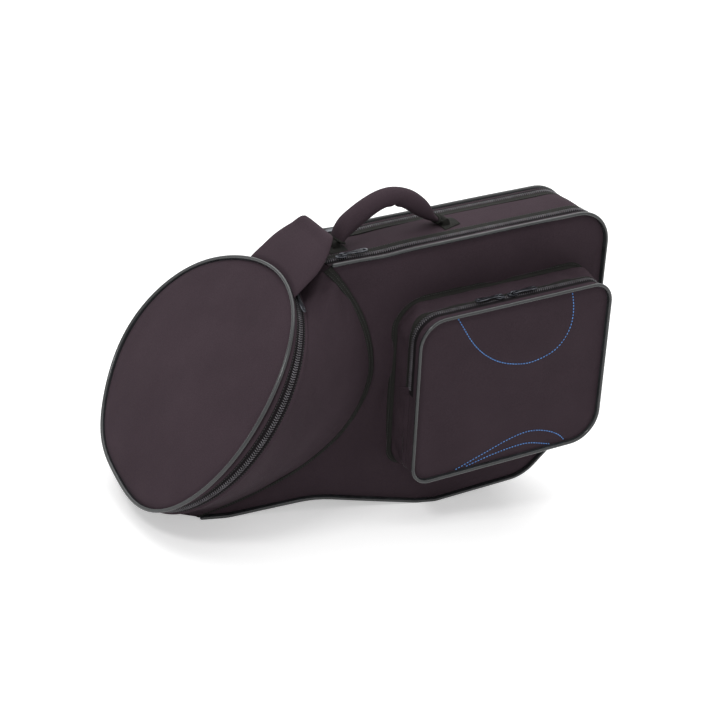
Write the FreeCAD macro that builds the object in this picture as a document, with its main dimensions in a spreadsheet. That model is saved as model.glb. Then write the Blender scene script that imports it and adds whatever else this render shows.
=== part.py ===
"""Soft gig bag for a french horn, as separate sewn pieces in millimetres.

Every piece is drawn in the bag's own frame: X along the level top edge, Y from the front to the
rear, Z square to both. The finished pieces are then turned by the stance angle, so that the bag
stands on its two rest runs with the middle of its base at the origin.
"""
import FreeCAD, Part
import math
import os
import Sketcher

from FreeCAD import Placement, Rotation, Vector

os.makedirs("parts", exist_ok=True)
doc = FreeCAD.newDocument("french_horn_bag")
sheet = doc.addObject("Spreadsheet::Sheet", "sizes")

SIZES = [
    ("body_thick", 104),
    ("top_level", 378),
    ("right_edge", 353),
    ("top_corner_radius", 50),
    ("right_low_level", 78),
    ("right_low_radius", 50),
    ("toe_reach", 251),
    ("toe_drop", 8),
    ("toe_radius", 58),
    ("foot_right_out", 108),
    ("foot_right_in", 78),
    ("foot_right_radius", 20),
    ("arch_start_radius", 60),
    ("arch_reach", 80),
    ("arch_level", 47),
    ("arch_radius", 200),
    ("foot_left_long", 40),
    ("foot_left_past", 15.1),
    ("foot_left_radius", 100),
    ("stance_tilt", 11.5),
    ("floor_level", 12),
    ("bell_radius", 170),
    ("bell_reach", 234.9),
    ("bell_level", 237.7),
    ("bell_tilt", 37.3),
    ("bell_dome", 10),
    ("throat_depth", 28),
    ("bell_zip_depth", 16),
    ("cover_thick", 1.2),
    ("foam_thick", 6),
    ("lining_thick", 0.8),
    ("zip_inset", 15),
    ("zip_row_wide", 3.4),
    ("coil_high", 2.2),
    ("part_gap", 0.3),
    ("tape_wide", 10.5),
    ("tape_thick", 0.6),
    ("piping_radius", 2.4),
    ("piping_seat", 0.05),
    ("piping_setback", 6),
    ("rest_flat", 0.5),
    ("binding_wide", 10),
    ("binding_thick", 0.9),
    ("binding_gap", 0.6),
    ("rear_panel_thick", 5),
    ("seam_gap", 0.5),
    ("back_wall_front", 26),
    ("back_wall_thick", 5),
    ("cradle_thick", 14),
    ("cushion_thick", 12),
    ("strap_wide", 34),
    ("strap_thick", 2),
    ("strap_long", 260),
    ("strap_start", 30),
    ("strap_level", 190),
    ("pocket_left", 30),
    ("pocket_right", 321),
    ("pocket_low", 70),
    ("pocket_high", 303),
    ("pocket_deep", 62),
    ("pocket_top_left_radius", 34),
    ("pocket_top_right_radius", 28),
    ("pocket_low_right_radius", 40),
    ("pocket_low_left_radius", 24),
    ("pocket_wall", 2.4),
    ("pocket_zip_inset", 20),
    ("pocket_flange", 6),
    ("pocket_zip_low", 200),
    ("slider_long", 15),
    ("slider_wide", 9.6),
    ("slider_plate", 1.5),
    ("slider_lift", 0.4),
    ("slider_bevel", 0.6),
    ("bridge_long", 8),
    ("bridge_high", 4),
    ("bridge_wide", 2.4),
    ("bridge_wall", 1.2),
    ("pull_long", 38),
    ("pull_wide", 9),
    ("pull_thick", 1.8),
    ("pull_window", 5.5),
    ("pull_side_gap", 0.5),
    ("pull_hole_radius", 1.8),
    ("main_slider_reach", 47),
    ("pocket_slider_left", 159),
    ("pocket_slider_right", 178.5),
    ("bell_slider_angle", 20),
    ("handle_left", 33),
    ("handle_right", 120),
    ("handle_radius", 14),
    ("handle_end_radius", 9),
    ("handle_axis_lift", 6.5),
    ("handle_rise", 52),
    ("handle_pin_radius", 2),
    ("handle_pin_gap", 0.1),
    ("handle_pin_long", 12),
    ("handle_pin_inner", 4),
    ("anchor_long", 10),
    ("anchor_wide", 20),
    ("anchor_patch_long", 20),
    ("anchor_patch_wide", 40),
    ("anchor_patch_thick", 0.8),
    ("webbing_wide", 18),
    ("grip_setback", 12),
    ("webbing_thick", 2.4),
    ("flap_thick", 6.4),
    ("flap_front", 76),
    ("flap_rear", 40),
    ("flap_end_front", 42),
    ("flap_end_rear", 22),
    ("flap_seat_depth", 4.2),
    ("flap_root_sink", 8.5),
    ("flap_root_rise", 4),
    ("flap_crest_reach", 70),
    ("flap_crest_rise", 37.4),
    ("flap_crest_radius", 12),
    ("flap_end_reach", 65),
    ("flap_end_level", 379),
    ("flap_clear", 0.4),
    ("tongue_long", 13),
    ("tongue_wide", 20),
    ("tongue_thick", 1.2),
    ("tongue_gap", 0.3),
    ("overrun", 200),
]

for row, (name, value) in enumerate(SIZES, start=1):
    sheet.set("A%d" % row, name)
    sheet.set("B%d" % row, str(value))
    sheet.setAlias("B%d" % row, name)
doc.recompute()


def size(name):
    """Value of a named size from the sheet."""
    return float(getattr(sheet, name))


# The seam between a cone and its flat panel, from the top edge down to the left rest run. Each
# point is a share of the bell's reach and of the top level.
SEAM_SHARES = [(-0.3065, 1.0), (-0.175, 0.886), (-0.0464, 0.712), (-0.020, 0.545),
               (-0.1656, 0.372), (-0.5113, 0.240)]
SEAM_STEPS = 27
# How the seam's length is shared out over the rim: below 1 the upper seam takes more of the rim.
RIM_PAIR_SHARE = 0.7
# Rim share taken by the first and last strips, which lie on the gusset's side of the corner.
CORNER_STRIP_SHARE = 0.02
# Rings that the padded grip is drawn through.
GRIP_RINGS = 13
# The handle's middle line: share of its span, and share of its rise.
HANDLE_SHARES = [(0.0, 0.0), (0.06, 0.26), (0.15, 0.55), (0.29, 0.86), (0.46, 1.0),
                 (0.62, 0.84), (0.78, 0.55), (0.91, 0.25), (1.0, 0.0)]

half_thick = size("body_thick") / 2
zip_middle = half_thick - size("zip_inset")
zip_near = size("part_gap") / 2
zip_far = zip_near + size("zip_row_wide")
wall = size("cover_thick") + size("foam_thick")
tilt = math.radians(size("bell_tilt"))
bell_centre = Vector(-size("bell_reach"), 0, size("bell_level"))
bell_axis = Vector(-math.cos(tilt), 0, math.sin(tilt))
bell_up = Vector(math.sin(tilt), 0, math.cos(tilt))
front = Vector(0, -1, 0)
bell_frame = Placement(bell_centre, Rotation(Vector(0, 1, 0), size("bell_tilt") - 90))
stance_slope = math.tan(math.radians(size("stance_tilt")))
finished = []


def rest_line(x):
    """Level of the surface that the bag stands on, in the bag's own frame."""
    return size("floor_level") - x * stance_slope


def keep(obj, label, placement=None):
    """Name a finished piece and remember where its own frame sits in the bag's frame."""
    obj.Label = label
    finished.append((obj, placement or Placement()))
    return obj


def feature(label, shape, placement=None):
    """A finished piece whose shape is made here from the named sizes."""
    obj = doc.addObject("Part::Feature", label)
    obj.Shape = shape
    return keep(obj, label, placement)


def line(start, end, y):
    return Part.LineSegment(Vector(start[0], y, start[1]), Vector(end[0], y, end[1])).toShape()


def direction(start, end):
    length = math.hypot(end[0] - start[0], end[1] - start[1])
    return (end[0] - start[0]) / length, (end[1] - start[1]) / length


def inset_corners(points, inset):
    """Corners of an open path moved to its right-hand side by the inset."""
    runs = []
    for start, end in zip(points, points[1:]):
        dx, dz = direction(start, end)
        runs.append((start[0] + dz * inset, start[1] - dx * inset, dx, dz))
    corners = [runs[0][:2]]
    for (px, pz, dx, dz), (qx, qz, ex, ez) in zip(runs, runs[1:]):
        along = ((qx - px) * ez - (qz - pz) * ex) / (dx * ez - dz * ex)
        corners.append((px + dx * along, pz + dz * along))
    dx, dz = runs[-1][2:]
    corners.append((points[-1][0] + dz * inset, points[-1][1] - dx * inset))
    return corners


def rounding_start(corner, neighbour, other, radius):
    """Point on the run from a corner to its neighbour at which the corner's rounding starts."""
    dx, dz = direction(corner, neighbour)
    ex, ez = direction(corner, other)
    opening = math.acos(dx * ex + dz * ez)
    cut = radius / math.tan(opening / 2)
    return corner[0] + dx * cut, corner[1] + dz * cut


def path_edges(points, radii, inset, y):
    """Edges of an open path with rounded corners, moved inwards by the inset."""
    corners = inset_corners(points, inset)
    edges = []
    start = corners[0]
    for index in range(1, len(corners) - 1):
        before, here, after = corners[index - 1:index + 2]
        dx, dz = direction(before, here)
        ex, ez = direction(here, after)
        turn = math.atan2(dx * ez - dz * ex, dx * ex + dz * ez)
        radius = radii[index] + math.copysign(inset, turn)
        if radii[index] <= 0 or radius <= 0:
            edges.append(line(start, here, y))
            start = here
            continue
        cut = radius * math.tan(abs(turn) / 2)
        rise = radius / math.cos(turn / 2) - radius
        bx, bz = direction((dx, dz), (ex, ez))
        first = (here[0] - dx * cut, here[1] - dz * cut)
        middle = (here[0] + bx * rise, here[1] + bz * rise)
        last = (here[0] + ex * cut, here[1] + ez * cut)
        edges.append(line(start, first, y))
        edges.append(Part.Arc(*[Vector(p[0], y, p[1]) for p in (first, middle, last)]).toShape())
        start = last
    edges.append(line(start, corners[-1], y))
    return edges


def band_face(points, radii, outer, inner, y):
    """Face between two insets of an open path."""
    outside = inset_corners(points, outer)
    inside = inset_corners(points, inner)
    edges = path_edges(points, radii, outer, y) + path_edges(points, radii, inner, y)
    edges += [line(outside[0], inside[0], y), line(outside[-1], inside[-1], y)]
    return Part.Face(Part.Wire(Part.__sortEdges__(edges)))


def extruded(label, face, length):
    """A face pushed to the rear by a length given as an expression on the sheet."""
    profile = doc.addObject("Part::Feature", label + "_profile")
    profile.Shape = face
    solid = doc.addObject("Part::Extrusion", label)
    solid.Base = profile
    solid.DirMode = "Custom"
    solid.Dir = Vector(0, 1, 0)
    solid.Solid = True
    solid.setExpression("LengthFwd", length)
    return solid


def rim_angle(offset):
    """Angle from the rim's top at which the rim has come forward by the offset."""
    return math.asin(offset / size("bell_radius"))


def bell_point(angle, radius, depth):
    """Point of the bell's ring, by its angle from the top towards the front."""
    spread = bell_up * math.cos(angle) + front * math.sin(angle)
    return bell_centre + spread * radius - bell_axis * depth


throat = rim_angle(zip_middle + zip_near)
rim_top = bell_point(throat, size("bell_radius"), size("throat_depth"))
rim_low = bell_point(math.pi - throat, size("bell_radius"), size("throat_depth"))
seam_top = (SEAM_SHARES[0][0] * size("bell_reach"), SEAM_SHARES[0][1] * size("top_level"))
foot_left = -size("bell_reach") - size("foot_left_past")
seam_low = (foot_left, rest_line(foot_left))
foot_left_in = foot_left + size("foot_left_long")
PANEL_PATH = [
    seam_top,
    (size("right_edge"), size("top_level")),
    (size("right_edge"), size("right_low_level")),
    (size("toe_reach"), -size("toe_drop")),
    (size("foot_right_out"), rest_line(size("foot_right_out"))),
    (size("foot_right_in"), rest_line(size("foot_right_in"))),
    (-size("arch_reach"), size("arch_level")),
    (foot_left_in, rest_line(foot_left_in)),
    seam_low,
]
PANEL_RADII = [0, size("top_corner_radius"), size("right_low_radius"), size("toe_radius"),
               size("foot_right_radius"), size("arch_start_radius"), size("arch_radius"),
               size("foot_left_radius"), 0]
GUSSET_PATH = [(rim_top.x, rim_top.z)] + PANEL_PATH + [(rim_low.x, rim_low.z)]
GUSSET_RADII = [0] + PANEL_RADII + [0]
ZIP_PATH = PANEL_PATH[:2]
ZIP_PATH.append(rounding_start(PANEL_PATH[2], PANEL_PATH[1], PANEL_PATH[3], PANEL_RADII[2]))
ZIP_RADII = PANEL_RADII[:2] + [0]


def seam_points():
    """Points along the seam from the top edge to the left rest run, evenly spaced."""
    reach, height = size("bell_reach"), size("top_level")
    through = [Vector(x * reach, 0, z * height) for x, z in SEAM_SHARES]
    through.append(Vector(seam_low[0], 0, seam_low[1]))
    curve = Part.BSplineCurve()
    curve.interpolate(through)
    return curve.toShape().discretize(Number=SEAM_STEPS)


SEAM = seam_points()


def cone_prism(label, gap):
    """Everything on the cone's side of the seam, for cutting the flat panels."""
    reach = size("overrun")
    low = rest_line(seam_low[0]) - reach
    left = bell_centre.x - reach - size("bell_radius")
    high = size("top_level") + reach
    points = [(p.x + gap, p.z - gap) for p in SEAM]
    points = [(points[0][0], high)] + points
    points += [(points[-1][0], low), (left, low), (left, high)]
    points.append(points[0])
    y = -half_thick - reach
    wire = Part.makePolygon([Vector(x, y, z) for x, z in points])
    prism = extruded(label, Part.Face(wire), "sizes.body_thick + 2 * sizes.overrun")
    return prism


front_cone_side = cone_prism("front_cone_side", 0)
rear_cone_side = cone_prism("rear_cone_side", size("seam_gap"))


def panel(label, inset, y, length, cone_side):
    """Flat panel inside the outline, cut along the seam."""
    edges = path_edges(GUSSET_PATH, GUSSET_RADII, inset, y)
    corners = inset_corners(GUSSET_PATH, inset)
    edges.append(line(corners[0], corners[-1], y))
    face = Part.Face(Part.Wire(Part.__sortEdges__(edges)))
    blank = extruded(label + "_blank", face, length)
    cut = doc.addObject("Part::Cut", label)
    cut.Base = blank
    cut.Tool = cone_side
    return keep(cut, label)


def facet_solid(sections):
    """Closed solid through quadrilateral sections, with flat facets between them.

    A side and the one opposite are folded along the same diagonal, so that layers fit together.
    """
    faces = []

    def facet(*corners):
        faces.append(Part.Face(Part.makePolygon(list(corners) + [corners[0]])))

    for one, two in zip(sections, sections[1:]):
        for i in range(len(one)):
            j = (i + 1) % len(one)
            if i < j and i < len(one) / 2:
                facet(one[i], one[j], two[j])
                facet(one[i], two[j], two[i])
            else:
                facet(one[i], one[j], two[i])
                facet(one[j], two[j], two[i])
    for end in (sections[0], sections[-1]):
        facet(end[0], end[1], end[2])
        facet(end[0], end[2], end[3])
    shell = Part.Shell(faces)
    shell.sewShape()
    solid = Part.Solid(shell)
    if solid.Volume < 0:
        shell.reverse()
        solid = Part.Solid(shell)
    return solid


def cone_lines():
    """Pairs of rim and seam points of the front cone, with the rim angle and the way inwards."""
    low_angle = math.pi - throat
    strip = (low_angle - throat) * CORNER_STRIP_SHARE
    corner = -zip_middle - zip_near
    lines = [(throat, Vector(SEAM[0].x, corner, SEAM[0].z))]
    last = len(SEAM) - 1
    for index, point in enumerate(SEAM):
        share = (index / last) ** RIM_PAIR_SHARE
        angle = throat + strip + (low_angle - throat - 2 * strip) * share
        lines.append((angle, Vector(point.x, -half_thick, point.z)))
    lines.append((low_angle, Vector(SEAM[-1].x, corner, SEAM[-1].z)))
    pairs = []
    for index, (angle, at_seam) in enumerate(lines):
        before = lines[max(index - 1, 0)]
        after = lines[min(index + 1, len(lines) - 1)]
        at_rim = bell_point(angle, size("bell_radius"), size("throat_depth"))
        ruling = at_seam - at_rim
        along = after[1] - before[1] + (
            bell_point(after[0], size("bell_radius"), size("throat_depth"))
            - bell_point(before[0], size("bell_radius"), size("throat_depth")))
        inward = ruling.cross(along).normalize()
        if inward.dot(bell_centre - bell_axis * size("throat_depth") - at_rim) < 0:
            inward = inward * -1
        seam_in = Vector(min(inward.x, 0), inward.y, inward.z).normalize()
        pairs.append((angle, at_rim, at_seam, seam_in))
    return pairs


CONE = cone_lines()


def cone_layer(near, far):
    """Layer of the front cone's wall between two depths below its outer face."""
    sections = []
    for angle, at_rim, at_seam, inward in CONE:
        sections.append([
            bell_point(angle, size("bell_radius") - near, size("throat_depth")),
            at_seam + inward * near,
            at_seam + inward * far,
            bell_point(angle, size("bell_radius") - far, size("throat_depth")),
        ])
    reach = size("overrun") + size("bell_reach") + size("bell_radius")
    corner = zip_middle + zip_near
    between = Part.makeBox(2 * reach, 2 * corner, 2 * reach, Vector(-reach, -corner, -reach))
    return facet_solid(sections).cut(between)


def cone_binding():
    """Binding tape on the cone, along the seam."""
    sections = []
    for angle, at_rim, at_seam, inward in CONE[1:-1]:
        inner_edge = at_seam + (at_rim - at_seam).normalize() * size("binding_wide")
        low = inward * -size("binding_gap")
        high = low - inward * size("binding_thick")
        sections.append([at_seam + low, inner_edge + low, inner_edge + high, at_seam + high])
    return facet_solid(sections)


def rest_height():
    """How far the flats of the piping lie below the rest line of the outline."""
    seat = (size("piping_radius") + size("piping_seat")) / math.sqrt(2)
    return seat + size("piping_radius") - size("rest_flat")


def floor_block():
    """Block below the surface that the bag stands on, in the bag's frame."""
    reach = size("right_edge") + size("overrun")
    top = size("floor_level") * math.cos(math.radians(size("stance_tilt"))) - rest_height()
    block = Part.makeBox(2 * reach, 2 * reach, reach, Vector(-reach, -reach, top - reach))
    block.Placement = Placement(Vector(0, 0, 0), Rotation(Vector(0, 1, 0), size("stance_tilt")))
    return block


def mirrored(shape):
    return shape.mirror(Vector(0, 0, 0), Vector(0, 1, 0))


def pipe(edges, centre, normal, radius):
    """Round cord along joined edges."""
    ring = Part.Wire(Part.makeCircle(radius, centre, normal))
    return Part.Wire(edges).makePipeShell([ring], True, False)


def outline_piping():
    """Piping outside the front corner of the outline."""
    seat = (size("piping_radius") + size("piping_seat")) / math.sqrt(2)
    y = -half_thick - seat
    path = [(seam_top[0] + size("piping_setback"), seam_top[1])] + PANEL_PATH[1:-1]
    end = seam_low[0] + size("piping_setback")
    path.append((end, rest_line(end)))
    edges = path_edges(path, PANEL_RADII, -seat, y)
    start = inset_corners(path, -seat)[0]
    cord = pipe(edges, Vector(start[0], y, start[1]), Vector(1, 0, 0), size("piping_radius"))
    return cord.cut(floor_block())


def gusset():
    """Middle band of the bag, between the two zippers."""
    edge = zip_middle - zip_near
    span = "sizes.body_thick - 2 * sizes.zip_inset - sizes.part_gap"
    bell = doc.addObject("Part::Cylinder", "bell_side")
    bell.setExpression("Radius", "sizes.bell_radius + sizes.overrun")
    bell.setExpression("Height", "sizes.throat_depth + sizes.overrun")
    bell.Placement = bell_frame.multiply(Placement(Vector(0, 0, -size("throat_depth")), Rotation()))
    for label, near, far in (("gusset_cover", 0, size("cover_thick")),
                             ("gusset_foam", size("cover_thick"), wall)):
        face = band_face(GUSSET_PATH, GUSSET_RADII, near, far, -edge)
        trimmed = doc.addObject("Part::Cut", label)
        trimmed.Base = extruded(label + "_blank", face, span)
        trimmed.Tool = bell
        keep(trimmed, label)
    tapes = []
    for side in (-1, 1):
        far = zip_middle - zip_far
        start = -far if side < 0 else far - size("tape_wide")
        face = band_face(ZIP_PATH, ZIP_RADII, -size("tape_thick"), 0, start)
        tapes.append(face.extrude(Vector(0, size("tape_wide"), 0)))
    feature("edge_tapes", Part.makeCompound(tapes))


def zip_rows():
    """Coil rows of the main and rear zippers, along the top and down the right end."""
    rows = (
        ("main_zip_lid_row", -zip_middle - zip_far),
        ("main_zip_body_row", -zip_middle + zip_near),
        ("rear_zip_body_row", zip_middle - zip_far),
        ("rear_zip_cover_row", zip_middle + zip_near),
    )
    for label, start in rows:
        face = band_face(ZIP_PATH, ZIP_RADII, -size("coil_high"), 0, start)
        keep(extruded(label, face, "sizes.zip_row_wide"), label)


def front_lid():
    """Front panel, its border and its piping."""
    cover = size("cover_thick")
    panel("front_panel_cover", 0, -half_thick, "sizes.cover_thick", front_cone_side)
    panel("front_panel_foam", cover, cover - half_thick, "sizes.foam_thick", front_cone_side)
    panel("front_panel_lining", cover, wall - half_thick, "sizes.lining_thick", front_cone_side)
    start = cover - half_thick
    face = band_face(PANEL_PATH, PANEL_RADII, 0, cover, start)
    span = "sizes.zip_inset - sizes.cover_thick - sizes.part_gap / 2"
    keep(extruded("front_border", face, span), "front_border")
    start = wall + size("lining_thick") - half_thick
    inner = band_face(ZIP_PATH, ZIP_RADII, cover, wall, start)
    span = ("sizes.zip_inset - sizes.cover_thick - sizes.foam_thick - sizes.lining_thick"
            " - sizes.part_gap / 2")
    keep(extruded("front_border_foam", inner, span), "front_border_foam")
    feature("front_piping", outline_piping())


def rear_cover():
    """Rear panel with its border and piping."""
    thick = size("rear_panel_thick")
    panel("rear_panel", 0, half_thick - thick, "sizes.rear_panel_thick", rear_cone_side)
    shift = size("seam_gap")
    path = [(PANEL_PATH[0][0] + shift, PANEL_PATH[0][1])] + PANEL_PATH[1:-1]
    path.append((seam_low[0] + shift, rest_line(seam_low[0] + shift)))
    face = band_face(path, PANEL_RADII, 0, size("cover_thick"), zip_middle + zip_near)
    span = "sizes.zip_inset - sizes.rear_panel_thick - sizes.part_gap / 2"
    keep(extruded("rear_border", face, span), "rear_border")
    piping = mirrored(outline_piping())
    feature("rear_piping", piping)


def inner_pieces():
    """Wall of the rear compartment, foam on the bottom and at the end, and the strap."""
    y = size("back_wall_front")
    panel("back_wall", wall, y, "sizes.back_wall_thick", rear_cone_side)
    edge = zip_middle - zip_near
    span = "sizes.body_thick / 2 - sizes.zip_inset - sizes.part_gap / 2 + sizes.back_wall_front"
    radii = PANEL_RADII[3:7]
    path = [rounding_start(PANEL_PATH[3], PANEL_PATH[4], PANEL_PATH[2], radii[0])]
    path += PANEL_PATH[4:6]
    path.append(rounding_start(PANEL_PATH[6], PANEL_PATH[5], PANEL_PATH[7], radii[3]))
    radii = [0] + radii[1:3] + [0]
    cradle = band_face(path, radii, wall, wall + size("cradle_thick"), -edge)
    keep(extruded("bottom_cradle", cradle, span), "bottom_cradle")
    low = size("right_low_level") + size("right_low_radius")
    high = size("top_level") - size("top_corner_radius")
    path = [(size("right_edge"), high), (size("right_edge"), low)]
    cushion = band_face(path, [0, 0], wall, wall + size("cushion_thick"), -edge)
    keep(extruded("end_cushion", cushion, span), "end_cushion")
    strap = doc.addObject("Part::Box", "retaining_strap")
    strap.setExpression("Length", "sizes.strap_long")
    strap.setExpression("Width", "sizes.strap_thick")
    strap.setExpression("Height", "sizes.strap_wide")
    at = Vector(size("strap_start"), y - size("strap_thick"), size("strap_level"))
    keep(strap, "retaining_strap", Placement(at, Rotation()))


def cones():
    """Front and rear cones between the bell's rim and the flat panels."""
    cover = cone_layer(0, size("cover_thick"))
    foam = cone_layer(size("cover_thick"), wall)
    binding = cone_binding().cut(cover).cut(foam)
    feature("cone_front_cover", cover)
    feature("cone_front_foam", foam)
    feature("cone_front_binding", binding)
    feature("cone_rear_cover", mirrored(cover))
    feature("cone_rear_foam", mirrored(foam))
    feature("cone_rear_binding", mirrored(binding))


def ring_sector(inner, outer, near, far, start, sweep):
    """Part of a ring round the bell's axis, in the bag's frame, from an angle to the front."""
    corners = []
    for radius, depth in ((inner, near), (outer, near), (outer, far), (inner, far), (inner, near)):
        corners.append(bell_point(start, radius, depth))
    face = Part.Face(Part.makePolygon(corners))
    return face.revolve(bell_centre, -bell_axis, math.degrees(sweep))


def bell_rim():
    """Fixed rim of the bell: one sector on the front lid, one on the body."""
    radius = size("bell_radius")
    near = size("bell_zip_depth") + zip_near
    row_far = size("bell_zip_depth") + zip_far
    gap = size("part_gap") / radius
    sweep = math.pi - 2 * throat
    turn = 2 * math.pi - sweep - 2 * gap
    start = math.pi - throat + gap
    throat_depth = size("throat_depth")
    coil = radius + size("coil_high")
    for side, first, angle in (("front", throat, sweep), ("rear", start, turn)):
        band = ring_sector(radius - wall, radius, near, throat_depth, first, angle)
        feature("rim_band_" + side, band)
        row = ring_sector(radius, coil, near, row_far, first, angle)
        feature("bell_zip_rim_row_" + side, row)


def dome_arc(radius, sag, drop):
    """Arc from the axis to the radius, domed by the sag, in the bell's own frame."""
    middle = radius / 2
    ball = (radius * radius + sag * sag) / (2 * sag)
    level = math.sqrt(ball * ball - middle * middle) - (ball - sag)
    points = [Vector(0, 0, sag - drop), Vector(middle, 0, level - drop), Vector(radius, 0, -drop)]
    return Part.Arc(*points).toShape()


def dome_layer(radius, sag, near, far):
    """Domed disc between two depths."""
    upper = dome_arc(radius, sag, near)
    lower = dome_arc(radius, sag, far)
    axis_side = Part.LineSegment(Vector(0, 0, sag - near), Vector(0, 0, sag - far)).toShape()
    rim_side = Part.LineSegment(Vector(radius, 0, -near), Vector(radius, 0, -far)).toShape()
    edges = Part.__sortEdges__([upper, rim_side, lower, axis_side])
    face = Part.Face(Part.Wire(edges))
    return face.revolve(Vector(0, 0, 0), Vector(0, 0, 1), 360)


def ring(label, inner, outer, near, far):
    """Ring round the bell's axis between two depths, each size an expression."""
    parts = []
    for kind, radius in (("outside", outer), ("inside", inner)):
        cylinder = doc.addObject("Part::Cylinder", label + "_" + kind)
        cylinder.setExpression("Radius", radius)
        cylinder.setExpression("Height", "%s - (%s)" % (far, near))
        cylinder.setExpression("Placement.Base.z", "-(%s)" % far)
        parts.append(cylinder)
    cut = doc.addObject("Part::Cut", label)
    cut.Base, cut.Tool = parts
    return keep(cut, label, bell_frame)


def bell_lid():
    """Round lid of the bell: domed cover, foam, side band, piping and coil row."""
    radius, sag = size("bell_radius"), size("bell_dome")
    cover = size("cover_thick")
    feature("bell_lid_cover", dome_layer(radius, sag, 0, cover), bell_frame)
    foam_radius = radius - wall
    foam_sag = sag * (foam_radius / radius) ** 2
    level = sag - foam_sag
    foam = dome_layer(foam_radius, foam_sag, cover - level, wall - level)
    feature("bell_lid_foam", foam, bell_frame)
    ring("bell_lid_band", "sizes.bell_radius - sizes.cover_thick - sizes.foam_thick",
         "sizes.bell_radius", "sizes.cover_thick", "sizes.bell_zip_depth - sizes.part_gap / 2")
    ring("bell_zip_lid_row", "sizes.bell_radius", "sizes.bell_radius + sizes.coil_high",
         "sizes.bell_zip_depth - sizes.part_gap / 2 - sizes.zip_row_wide",
         "sizes.bell_zip_depth - sizes.part_gap / 2")
    seat = (size("piping_radius") + size("piping_seat")) / math.sqrt(2)
    torus = doc.addObject("Part::Torus", "bell_lid_piping")
    torus.Radius1 = radius + seat
    torus.setExpression("Radius2", "sizes.piping_radius")
    lift = Placement(Vector(0, 0, seat), Rotation())
    keep(torus, "bell_lid_piping", bell_frame.multiply(lift))


def closing_flap():
    """Padded flap on the lid's rim, over the place where the zippers meet."""
    depth = size("flap_seat_depth")
    radius = size("bell_radius")
    root = bell_point(0, radius - size("flap_root_sink"), depth)
    bend = bell_point(0, radius + size("flap_root_rise"), depth)
    path = [(root.x, root.z), (bend.x, bend.z),
            (-size("flap_crest_reach"), bend.z + size("flap_crest_rise")),
            (-size("flap_end_reach"), size("flap_end_level"))]
    radii = [0, size("flap_crest_radius"), size("flap_crest_radius"), 0]
    half = size("flap_thick") / 2
    face = band_face(path, radii, -half, half, -size("flap_front"))
    slab = face.extrude(Vector(0, size("flap_front") + size("flap_rear"), 0))
    low = size("flap_end_level") - size("overrun")
    end = size("flap_thick") - size("flap_end_reach")
    corners = [(root.x - size("overrun"), -size("flap_front")), (bend.x, -size("flap_front")),
               (end, -size("flap_end_front")), (end, size("flap_end_rear")),
               (bend.x, size("flap_rear")), (root.x - size("overrun"), size("flap_rear"))]
    corners.append(corners[0])
    plan = Part.Face(Part.makePolygon([Vector(x, y, low) for x, y in corners]))
    slab = slab.common(plan.extrude(Vector(0, 0, 2 * size("overrun"))))
    seat_radius = radius + size("flap_clear")
    drum = Part.makeCylinder(seat_radius, size("overrun"), bell_point(0, 0, size("overrun") / 2),
                             bell_axis)
    lift = size("tongue_thick") + size("tongue_gap")
    seat = size("top_level") + lift + size("tongue_thick")
    reach = size("overrun")
    below = Part.makeBox(reach, 2 * reach, reach,
                         Vector(-size("flap_crest_reach") - half, -reach, seat - reach))
    feature("closing_flap", slab.cut(drum).cut(below))
    middle = (size("flap_end_rear") - size("flap_end_front")) / 2
    for label, lift in (("flap_hook_tongue", lift), ("flap_loop_patch", 0)):
        box = doc.addObject("Part::Box", label)
        box.setExpression("Length", "sizes.tongue_long")
        box.setExpression("Width", "sizes.tongue_wide")
        box.setExpression("Height", "sizes.tongue_thick")
        at = Vector(-size("flap_end_reach") - half, middle - size("tongue_wide") / 2,
                    size("top_level") + lift)
        keep(box, label, Placement(at, Rotation()))


def pocket_path(left, right, low, high):
    """Closed outline of the pocket, started in the middle of its top."""
    middle = (left + right) / 2
    points = [(middle, high), (right, high), (right, low), (left, low), (left, high),
              (middle, high)]
    radii = [0, size("pocket_top_right_radius"), size("pocket_low_right_radius"),
             size("pocket_low_left_radius"), size("pocket_top_left_radius"), 0]
    return points, radii


def pocket_frame(outer, inner, y):
    """Face between two insets of the pocket's closed outline, or a full face."""
    points, radii = pocket_path(size("pocket_left"), size("pocket_right"), size("pocket_low"),
                                size("pocket_high"))
    outside = Part.Wire(path_edges(points, radii, outer, y))
    if inner is None:
        return Part.Face(outside)
    inside = Part.Wire(path_edges(points, radii, inner, y))
    return Part.Face(outside).cut(Part.Face(inside)).Faces[0]


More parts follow.
